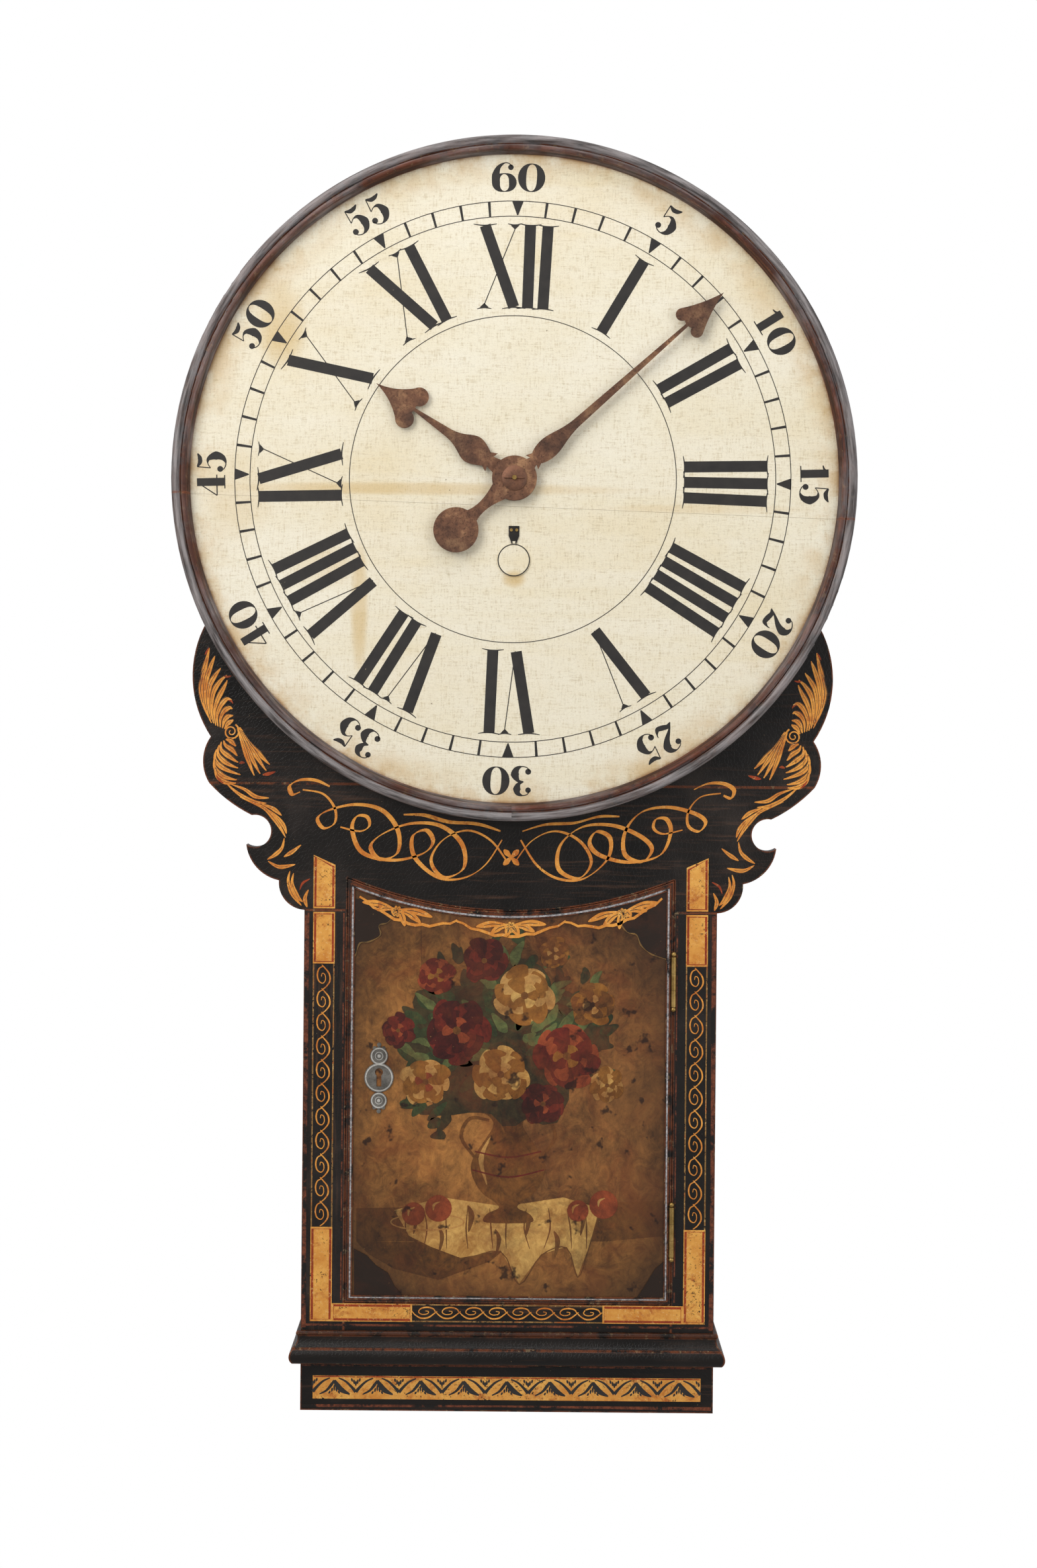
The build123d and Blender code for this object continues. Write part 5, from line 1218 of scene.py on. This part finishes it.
def paintTrunk():
    a = trunkArt
    blocks = []
    tops = []
    scrolls = []
    lines = []
    rubs = []
    stripMiddle = (a["lowFoot"] + a["stripTop"]) / 2
    for way in (-1, 1):
        left, right = sorted((way * a["inner"], way * a["outer"]))
        middle = (left + right) / 2
        blocks.append(rectangle(left, a["scrollTop"], right, a["blockTop"]))
        blocks.append(rectangle(left, a["lowFoot"], right, a["lowTop"]))
        ends = sorted((way * a["inner"], way * a["stripEnd"]))
        blocks.append(rectangle(ends[0], a["lowFoot"], ends[1], a["stripTop"] - 0.8))
        foot = [(way * a["inner"], a["apronFoot"]), (way * a["outer"], a["apronFoot"])]
        tops.append(foot + [(way * a["outer"], a["apronOuterTop"]), (way * a["inner"], a["apronInnerTop"])])
        scrolls += scrollBand((middle, a["lowTop"] + 2), (middle, a["scrollTop"] - 2), a["scrollWide"])
        for x in (left + 0.8, right - 0.8):
            lines.append(([(x, a["lowTop"]), (x, a["scrollTop"])], [a["line"]] * 2))
        edge = way * (a["edge"] - a["rub"] / 2 - 0.6)
        heights = (a["rubFoot"], 250, 400, a["rubTop"])
        rubs.append(([(edge, height) for height in heights], [a["rub"] * k for k in (1, 0.7, 0.9, 1)]))
        beside = [(way * a["opening"], height) for height in (a["openingFoot"], a["rubTop"])]
        rubs.append((beside, [1.6, 1.6]))
    strip = [(way * (a["stripEnd"] - 1), stripMiddle) for way in (-1, 1)]
    scrolls += scrollBand(*strip, a["stripWide"])
    for height in (a["lowFoot"] + 0.8, a["stripTop"] - 1.6):
        lines.append(([(-a["stripEnd"], height), (a["stripEnd"], height)], [a["line"]] * 2))
    for half, heights, widths in a["level"]:
        step = 2 * half / (len(heights) - 1)
        rubs.append(([(i * step - half, height) for i, height in enumerate(heights)], widths))
    for name, finish, lift, strokes, fills, loops in (
        ("trunkBlocks", giltPale, 0, (), blocks, ()),
        ("apronBlocks", giltPale, 0, (), tops, ()),
        ("trunkBorders", bole, a["over"], (), (), blocks),
        ("apronBorders", bole, a["over"], (), (), tops),
        ("trunkScrolls", gilt, 0, scrolls, (), ()),
        ("trunkLines", giltDull, 0, lines, (), ()),
        ("trunkRubbing", rubbed, 0, rubs, (), ()),
    ):
        edges = [(insetLoop(outline, a["border"] * 0.9), [a["border"]] * 4) for outline in loops]
        thick = a["thick"] + lift
        inlay(name, finish, "case", clock["caseFront"], thick, strokes, fills, edges)


# Plinth: a gold band with a row of black arches, a V between each two, and small marks of leaves
plinthArt = {
    "half": 218,
    "low": 13,
    "high": 39,
    "repeats": 9,
    "weight": 1.75,         # how much heavier the brush is than the widths below
    "rise": ((0.16, 0.2, 0.7), (0.32, 0.36, 1.4), (0.43, 0.6, 2.0), (0.5, 0.8, 1.2)),
    "fall": ((0.5, 0.8, 1.6), (0.58, 0.56, 3.4), (0.69, 0.36, 3.2), (0.86, 0.2, 0.8)),
    "vee": ((0, 0.3, 2.2), (0.1, 0.52, 1.7), (0.24, 0.76, 1.3), (0.4, 0.9, 0.7)),
    "veeLeaves": ((0.0, 0.56, 0.78), (0.045, 0.64, 0.84), (0.1, 0.74, 0.9)),
    "archLeaves": (
        (0.0, 0.34, 0.6), (-0.06, 0.3, 0.48), (0.06, 0.3, 0.48), (-0.13, 0.22, 0.34), (0.13, 0.22, 0.34),
    ),
    "rust": ((0.02, 0.95, 1.0), (0.5, 0.965, 1.6), (0.98, 0.95, 0.9)),
}


def paintPlinth():
    a = plinthArt
    tall = a["high"] - a["low"]
    pitch = 2 * a["half"] / a["repeats"]
    strokes = []
    rust = []
    for step in range(a["repeats"]):
        left = -a["half"] + step * pitch

        def at(u, v, left=left):
            return (left + u * pitch, a["low"] + v * tall)

        for part in ("rise", "fall"):
            strokes.append(curve([at(u, v) for u, v, _ in a[part]], [pen for _, _, pen in a[part]], 5))
        for way, side in ((0, 1), (1, -1)):
            vee = [at(way + side * u, v) for u, v, _ in a["vee"]]
            strokes.append(curve(vee, [pen for _, _, pen in a["vee"]], 5))
            for across, low, high in a["veeLeaves"]:
                if way == 0 or across > 0:
                    spread = side * across
                    strokes.append(leaf([at(way + spread * 0.8, low), at(way + spread, high)], 1.4))
        for across, low, high in a["archLeaves"]:
            strokes.append(leaf([at(0.5 + across * 0.7, high), at(0.5 + across, low)], 1.3))
        rust.append(curve([at(u, v) for u, v, _ in a["rust"]], [pen for _, _, pen in a["rust"]], 5))
    edge = rectangle(-a["half"], a["low"], a["half"], a["high"])
    bold = [(points, [width * a["weight"] for width in widths]) for points, widths in strokes]
    front = clock["caseFront"]
    inlay("plinthGold", giltPale, "case", front, 0.15, fills=[edge])
    inlay("plinthLines", ink, "case", front, 0.24, bold)
    inlay("plinthRust", bole, "case", front, 0.22, rust)


print("gilt bands")
paintTrunk()
paintPlinth()

# Painted door. Its u and v were measured on an enlargement that starts at left and top in the
# photograph and has that many of them to a pixel
doorArt = {
    "left": 430,
    "top": 1280,
    "toPixel": 1.803,
    "inner": 175.4,
    "foot": 129.6,
    "arc": 493.5,
    "ground": 0.12,
    "step": 0.05,           # from one layer of paint to the next
    "halfWide": 183.2,
    "doorFoot": 121.8,
    "doorArc": 485,
    "bead": 5.75,           # from the door's edge to the crest of its bead
    "beadFront": 167,
}


def onTrunk(u, v):
    toPixel = doorArt["toPixel"]
    return fromPhoto(doorArt["left"] + u / toPixel, doorArt["top"] + v / toPixel, clock["caseFront"])


def trunkPoints(*spots):
    return [onTrunk(u, v) for u, v in spots]


# Height of an arc that is struck from the middle of the dial
def arcHeight(radius, x):
    return clock["dialHeight"] - math.sqrt(radius ** 2 - x ** 2)


def doorArc(radius, start, end, steps=24):
    across = [start + (end - start) * k / steps for k in range(steps + 1)]
    return [(x, arcHeight(radius, x)) for x in across]


oils = {
    "ground": agedOil("oilAmberBrown", "b97d3f", "6e4723", 111.1),
    "shade": agedOil("oilUmber", "9c6735", "54351d", 111.1),
    "table": agedOil("oilRawSienna", "8a5727", "4e3118"),
    "cloth": agedOil("oilOldCream", "e8b868", "a8763a"),
    "fold": agedOil("oilClothShade", "86592b", "583718"),
    "green": agedOil("oilDarkGreen", "45502c", "242b1b"),
    "leafLight": agedOil("oilOlive", "707642", "3f4829"),
    "leafBrown": agedOil("oilGreenBrown", "4d4226", "2b2416"),
    "russet": agedOil("oilRusset", "7c2a1c", "401510"),
    "wine": agedOil("oilWine", "571b16", "2e0f0d"),
    "rose": agedOil("oilWarmRed", "a94f2b", "6f2f1b"),
    "petal": agedOil("oilPaleOchre", "d6a25c", "a06c35"),
    "ochre": agedOil("oilOchre", "a9702f", "744618"),
    "urn": agedOil("oilBrownOchre", "8f5a28", "4c2e15"),
    "black": agedOil("oilLampblack", "1d1917", "100e0c"),
}


def oilPiece(name, tone, layer, strokes=(), fills=(), loops=()):
    back = clock["caseFront"] + doorArt["ground"] * 0.5
    thick = doorArt["ground"] * 0.5 + doorArt["step"] * (layer + 1)
    inlay(name, oils[tone], "door", back, thick, strokes, fills, loops)


pictureArt = {
    "seed": 11,
    "wall": ((560, 215), (1046, 150), (1046, 1020), (620, 1010), (640, 620)),
    "panel": ((372, 175), (374, 330)),
    "table": ((196, 985), (1040, 965), (1040, 1060), (880, 1075), (196, 1075)),
    "drop": ((196, 1075), (620, 1080), (560, 1130), (420, 1180), (300, 1150), (230, 1110)),
    "clothTop": ((430, 955), (600, 980), (760, 955)),
    "clothHem": (
        (860, 985), (830, 1090), (800, 1170), (770, 1090), (700, 1110), (640, 1190), (590, 1100),
        (480, 1120), (400, 1090), (340, 1060),
    ),
    "clothCorner": (300, 990),
    "folds": (330, 380, 440, 500, 560, 610, 660, 720, 770, 820),
    "shadows": ((350, 1010), (420, 1062), (500, 1005), (575, 1070), (655, 1020), (735, 1075), (805, 1015)),
    "urnMiddle": 610,
    "urn": (
        (6, 700), (64, 704), (70, 722), (50, 736), (40, 760), (64, 800), (96, 850), (100, 890),
        (74, 940), (36, 968), (26, 984), (58, 1000), (66, 1022), (4, 1026),
    ),
    "handle": ((52, 745), (104, 740), (128, 790), (92, 845)),
    "leaves": 210,
    "foliageMiddle": (610, 560),
    "massMiddle": (595, 540),
    "fruit": ((420, 985, 15), (352, 1000, 13), (870, 975, 16), (800, 992, 12)),
    "dishMiddle": (390, 1022),
}


def paintTable(draw):
    a = pictureArt
    panel = curve(trunkPoints(*a["panel"]), [1.2, 0.8], 4)
    oilPiece("pictureWall", "shade", 0, fills=[trunkPoints(*a["wall"])], strokes=[panel])
    oilPiece("pictureTable", "table", 1, fills=[trunkPoints(*a["table"]), trunkPoints(*a["drop"])])
    cloth = trunkPoints(a["clothCorner"], *a["clothTop"], *a["clothHem"])
    folds = []
    for u in a["folds"]:
        fold = trunkPoints((u, 985), (u + draw.uniform(-8, 10), 1040), (u + draw.uniform(-14, 14), 1095))
        folds.append(curve(fold, [0.6, 1.8, 0.6], 4))
    for u, v in a["shadows"]:
        folds.append(leaf(trunkPoints((u, v - 28), (u + 10, v), (u + 2, v + 44)), draw.uniform(5, 9), 0.5))
    hem = [(u, v + 3) for u, v in (*a["clothHem"], a["clothCorner"])]
    folds.append(curve(trunkPoints(*hem), [1.2] * len(hem), 4))
    oilPiece("pictureCloth", "cloth", 2, fills=[cloth])
    oilPiece("pictureFolds", "fold", 3, strokes=folds)


# Urn: a turned outline about an upright line, with a lit side and two painted bands
def paintUrn():
    a = pictureArt
    middle = a["urnMiddle"]
    outline = [(middle + u, v) for u, v in a["urn"]] + [(middle - u, v) for u, v in reversed(a["urn"])]
    handles = []
    for way in (-1, 1):
        handle = [(middle + way * u, v) for u, v in a["handle"]]
        handles.append(curve(trunkPoints(*handle), [3, 4, 4, 3], 5))
    shine = [
        curve(trunkPoints((562, 790), (536, 850), (552, 920)), [1, 6, 1], 5),
        curve(trunkPoints((570, 712), (middle, 716), (650, 712)), [1, 3, 1], 4),
    ]
    bands = [
        curve(trunkPoints((520, 830), (middle, 846), (700, 830)), [1.5, 2, 1.5], 5),
        curve(trunkPoints((512, 880), (middle, 900), (708, 880)), [1.5, 2, 1.5], 5),
    ]
    oilPiece("pictureUrn", "urn", 3.5, fills=[trunkPoints(*smoothLine(outline, 4))], strokes=handles)
    oilPiece("pictureShine", "petal", 3.75, strokes=shine)
    oilPiece("pictureBands", "russet", 3.9, strokes=bands)


# Foliage in three tones, spraying out over the urn and hanging down at the left
def paintFoliage(draw):
    middleU, middleV = pictureArt["foliageMiddle"]
    foliage = {"leafBrown": [], "green": [], "leafLight": []}
    for index in range(pictureArt["leaves"]):
        low = index % 4 == 0
        angle = math.radians(draw.uniform(150, 235) if low else draw.uniform(-18, 198))
        reach = draw.uniform(60, 350) * (0.74 + 0.26 * abs(math.sin(angle)))
        u = middleU + reach * math.cos(angle) * 0.95
        v = middleV - reach * math.sin(angle) * 0.86
        turn = angle + draw.uniform(-0.8, 0.8)
        size = draw.uniform(38, 74)
        tip = (u + size * math.cos(turn), v - size * math.sin(turn))
        bend = ((u + tip[0]) / 2 + draw.uniform(-11, 11), (v + tip[1]) / 2 + draw.uniform(-11, 11))
        tone = ("green", "leafBrown", "green", "leafLight")[index % 4 if not low else (index // 4) % 2]
        foliage[tone].append(leaf(trunkPoints((u, v), bend, tip), draw.uniform(8, 15), 0.42))
    mass = []
    middleU, middleV = pictureArt["massMiddle"]
    for k in range(48):
        angle = 2 * math.pi * k / 48
        bulge = 1 + 0.09 * math.sin(5 * angle + 1)
        bulge += 0.06 * math.sin(11 * angle) + 0.04 * math.sin(17 * angle + 2)
        mass.append((middleU + 262 * bulge * math.cos(angle), middleV - 215 * bulge * math.sin(angle)))
    oilPiece("pictureMass", "leafBrown", 4.2, fills=[trunkPoints(*mass)])
    for layer, (tone, leaves) in enumerate(foliage.items()):
        oilPiece("pictureLeaves" + tone.capitalize(), tone, 5 + layer, strokes=leaves)


# Each flower: u, v and size, then the tones of its petals, their shaded sides and its heart
blooms = (
    (470, 500, 92, "russet", "wine", "rose"),
    (655, 405, 84, "petal", "ochre", "cloth"),
    (770, 570, 90, "rose", "russet", "ochre"),
    (590, 620, 80, "cloth", "ochre", "petal"),
    (385, 640, 66, "petal", "ochre", "rose"),
    (545, 310, 64, "russet", "wine", "russet"),
    (840, 430, 62, "ochre", "urn", "petal"),
    (415, 350, 52, "rose", "russet", "ochre"),
    (705, 700, 60, "russet", "wine", "rose"),
    (880, 650, 48, "petal", "ochre", "cloth"),
    (310, 500, 46, "wine", "russet", "rose"),
    (735, 290, 44, "ochre", "urn", "petal"),
)
petalRings = ((1.0, 10), (0.72, 8), (0.44, 6))     # share of the flower's size, and petals in the ring


# Full-blown flowers: a dark disc under three rings of petals, every other petal in shade
def paintBlooms(draw):
    discs = {}
    petals = {}
    for u, v, size, light, dark, heart in blooms:
        discs.setdefault((0, dark), []).append(circle(*onTrunk(u, v), size * 0.33, 24))
        discs.setdefault((7, "urn"), []).append(circle(*onTrunk(u, v), size * 0.05, 12))
        for ring, (share, count) in enumerate(petalRings):
            for k in range(count):
                angle = 2 * math.pi * (k + 0.5 * ring) / count + draw.uniform(-0.12, 0.12)
                near = size * share * 0.12
                far = size * share * draw.uniform(0.86, 1.04)
                bend = angle + draw.uniform(-0.2, 0.2)
                spots = ((near, angle), (0.66 * far, bend), (far, angle))
                points = trunkPoints(*((u + r * math.cos(turn), v - r * math.sin(turn)) for r, turn in spots))
                shaded = k % 2 == (ring + 1) % 2
                tone = heart if ring == 2 and not shaded else (dark if shaded else light)
                layer = (1 + 2 * ring + shaded, tone)
                petals.setdefault(layer, []).append(leaf(points, size * share * 0.34, 0.7))
    for layer, tone in sorted({*discs, *petals}):
        name = "pictureBlooms" + str(layer) + tone.capitalize()
        key = (layer, tone)
        oilPiece(name, tone, 8 + layer, petals.get(key, ()), discs.get(key, ()))


# Fruit and a dish on the table, each fruit with a lit side
def paintFruit():
    a = pictureArt
    fruit = [circle(*onTrunk(u, v), radius, 22) for u, v, radius in a["fruit"]]
    oilPiece("pictureFruit", "rose", 6.5, fills=fruit)
    glints = []
    for u, v, _ in a["fruit"]:
        glints.append(leaf(trunkPoints((u - 14, v + 6), (u - 12, v - 10), (u + 4, v - 18)), 3))
    oilPiece("pictureGlints", "petal", 7.5, strokes=glints)
    u, v = a["dishMiddle"]
    turns = [2 * math.pi * k / 32 for k in range(32)]
    dish = trunkPoints(*((u + 100 * math.cos(turn), v - 22 * math.sin(turn)) for turn in turns))
    oilPiece("pictureDish", "petal", 4.6, loops=[(dish, [1.6] * len(dish))])


def paintPicture():
    a = doorArt
    draw = random.Random(pictureArt["seed"])
    ground = [(-a["inner"], a["foot"]), (a["inner"], a["foot"])]
    ground += doorArc(a["arc"], a["inner"], -a["inner"])
    front = clock["caseFront"]
    inlay("pictureGround", oils["ground"], "door", front, a["ground"], fills=[ground])
    paintTable(draw)
    paintUrn()
    paintFoliage(draw)
    paintBlooms(draw)
    paintFruit()


# Black corners of the door: the straight sides first, then the scalloped edge
upperCorners = (
    (
        (192, 140), (340, 168), (300, 184), (282, 206), (258, 214),
        (262, 240), (232, 258), (206, 262), (196, 290), (190, 300),
    ),
    (
        (1048, 120), (870, 165), (884, 196), (910, 204), (934, 232),
        (960, 240), (972, 268), (1000, 292), (1040, 306), (1050, 312),
    ),
)
lowerCorners = (
    ((190, 1095), (224, 1112), (250, 1140), (282, 1160), (300, 1196), (322, 1236), (190, 1236)),
    ((1050, 1130), (1010, 1150), (980, 1200), (960, 1238), (1050, 1238)),
)


def paintCorners():
    a = doorArt
    placed = []
    for corner in upperCorners + lowerCorners:
        kept = []
        for x, height in trunkPoints(*corner):
            x = max(-a["inner"], min(a["inner"], x))
            kept.append((x, max(a["foot"], min(arcHeight(a["arc"], x), height))))
        placed.append(kept)
    oilPiece("pictureCorners", "black", 17, fills=placed)
    pale = []
    for corner in upperCorners:
        line = smoothLine(trunkPoints(*corner[2:]), 4)
        pale.append((line, [1.2 + 0.7 * math.sin(k * 1.3) for k in range(len(line))]))
    oilPiece("pictureCornerEdges", "cloth", 18, strokes=pale)
    # The bead has lost its black down to the whiting, all round
    half = a["halfWide"] - a["bead"]
    foot = a["doorFoot"] + a["bead"]
    rim = [(-half, foot), (half, foot)] + doorArc(a["doorArc"] + a["bead"], half, -half, 40)
    inlay("beadWear", whiting, "door", a["beadFront"], 0.1, loops=[(rim, [2.0] * len(rim))])


garlandArt = {
    "back": 0.05,           # above the door's face
    "thick": 1.05,
    "bands": ((-170, -60), (60, 170), (-62, 62)),
    "sprays": ((-128, 3), (0, 4), (126, 3)),    # middle, and leaves to a side
    "leafWidth": 7.5,
    "petals": 8,
}


# Garland under the arc: a running band with three sprays of leaves, each with a daisy in its middle
def paintGarland():
    a = garlandArt
    arc = doorArt["arc"]
    garland = []
    veins = []
    daisies = []
    for low, high in a["bands"]:
        points = []
        for k in range(15):
            x = low + (high - low) * k / 14
            sag = 6 + 13 * math.sin(math.pi * k / 14)
            points.append((x, arcHeight(arc, x) - sag + 1.2 * math.sin(k * 2.3)))
        garland.append((points, [2.2 + 1.2 * math.sin(math.pi * k / 14) for k in range(15)]))
    for middle, spread in a["sprays"]:
        top = arcHeight(arc, middle)
        slope = middle / math.sqrt(arc ** 2 - middle ** 2)
        for way in (-1, 1):
            for index in range(spread):
                angle = math.radians(8 + index * 34 - 6 * way)
                length = 40 - index * 6.5
                base = (middle + way * 2, top - 7)
                drop = 5 + 15 * math.sin(angle) - way * slope * length * 0.9
                tip = (middle + way * length * math.cos(angle), top - drop)
                bend = midway(base, tip)
                bend = (bend[0], bend[1] + 2.4)
                garland.append(leaf([base, bend, tip], a["leafWidth"], 0.62))
                veins.append(curve([midway(base, bend), bend, midway(bend, tip)], [0.5, 0.7, 0.4], 4))
        for k in range(a["petals"]):
            turn = 2 * math.pi * k / a["petals"] + 0.2
            near, end, far = (
                (middle + r * math.cos(turn), top - 9 + r * math.sin(turn)) for r in (1.6, 4.96, 6.4)
            )
            daisies.append(leaf([near, midway(near, far), far], 3.4, 0.7))
            veins.append(leaf([near, midway(near, far), end], 0.6))
    back = clock["caseFront"] + a["back"]
    for name, finish, lift, shapes in (
        ("doorGarland", gilt, 0, garland),
        ("doorDaisies", giltPale, 0.07, daisies),
        ("doorGarlandVeins", blackLine, 0.15, veins),
    ):
        inlay(name, finish, "door", back, a["thick"] + lift, shapes)


print("painted door")
paintPicture()
paintCorners()
paintGarland()

# The driving line, in pieces that ride up with the weight, or stay
lineArt = {
    "radius": 1.2,
    "sides": 14,
    "bendRadius": 19,       # middle of the line round the pulley
    "knotRadius": 4.8,
}


def tube(name, points, body):
    bm = bmesh.new()
    sides = lineArt["sides"]
    radius = lineArt["radius"] / 1000
    rows = []
    for index, point in enumerate(points):
        before = points[max(index - 1, 0)]
        after = points[min(index + 1, len(points) - 1)]
        along = (after - before).normalized()
        side = along.cross(Vector((0, 1, 0))).normalized()
        other = along.cross(side).normalized()
        row = []
        for k in range(sides):
            turn = 2 * math.pi * k / sides
            row.append(bm.verts.new(point + (side * math.cos(turn) + other * math.sin(turn)) * radius))
        rows.append(row)
    for first, second in zip(rows, rows[1:]):
        for k in range(sides):
            after = (k + 1) % sides
            bm.faces.new((first[k], first[after], second[after], second[k]))
    bm.faces.new(rows[0])
    bm.faces.new(list(reversed(rows[-1])))
    piece = finishPiece(bm, name, gut, body)
    for face in piece.data.polygons:
        face.use_smooth = len(face.vertices) == 4
    return piece


def addLine():
    pulleyLow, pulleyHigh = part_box("pulley")
    depth = -(pulleyLow.y + pulleyHigh.y) / 2
    axle = (pulleyLow.z + pulleyHigh.z) / 2
    middle = (pulleyLow.x + pulleyHigh.x) / 2
    reach = lineArt["bendRadius"] / 1000
    turns = [math.pi + math.pi * k / 24 for k in range(25)]
    ring = [(math.cos(turn), math.sin(turn)) for turn in turns]
    bend = [Vector((middle + reach * across, -depth, axle + reach * up)) for across, up in ring]
    loop = tube("lineLoop", bend, "weight_set")
    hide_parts("gut_line")
    top = (clock["dialHeight"] - clock["windingDrop"] - clock["hangHeight"]) / 1000
    seat = (clock["seatTop"] - clock["hangHeight"]) / 1000
    for name, x, end in (("lineFallLeft", middle - reach, top), ("lineFallRight", middle + reach, seat)):
        length = end - axle
        fall = tube(name, [Vector((x, -depth, axle + length * k / 40)) for k in range(41)], "case")
        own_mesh(fall)
    bm = bmesh.new()
    bmesh.ops.create_uvsphere(bm, u_segments=18, v_segments=12, radius=lineArt["knotRadius"] / 1000)
    for vert in bm.verts:
        vert.co.z *= 0.8
        vert.co += Vector((middle + reach, -depth, seat + 0.0036))
        turn = math.atan2(vert.co.y + depth, vert.co.x - middle - reach)
        vert.co.x += 0.0002 * math.sin(vert.co.z * 5200 + turn * 2)
    finishPiece(bm, "lineKnot", gut, "case")


print("driving line")
addLine()
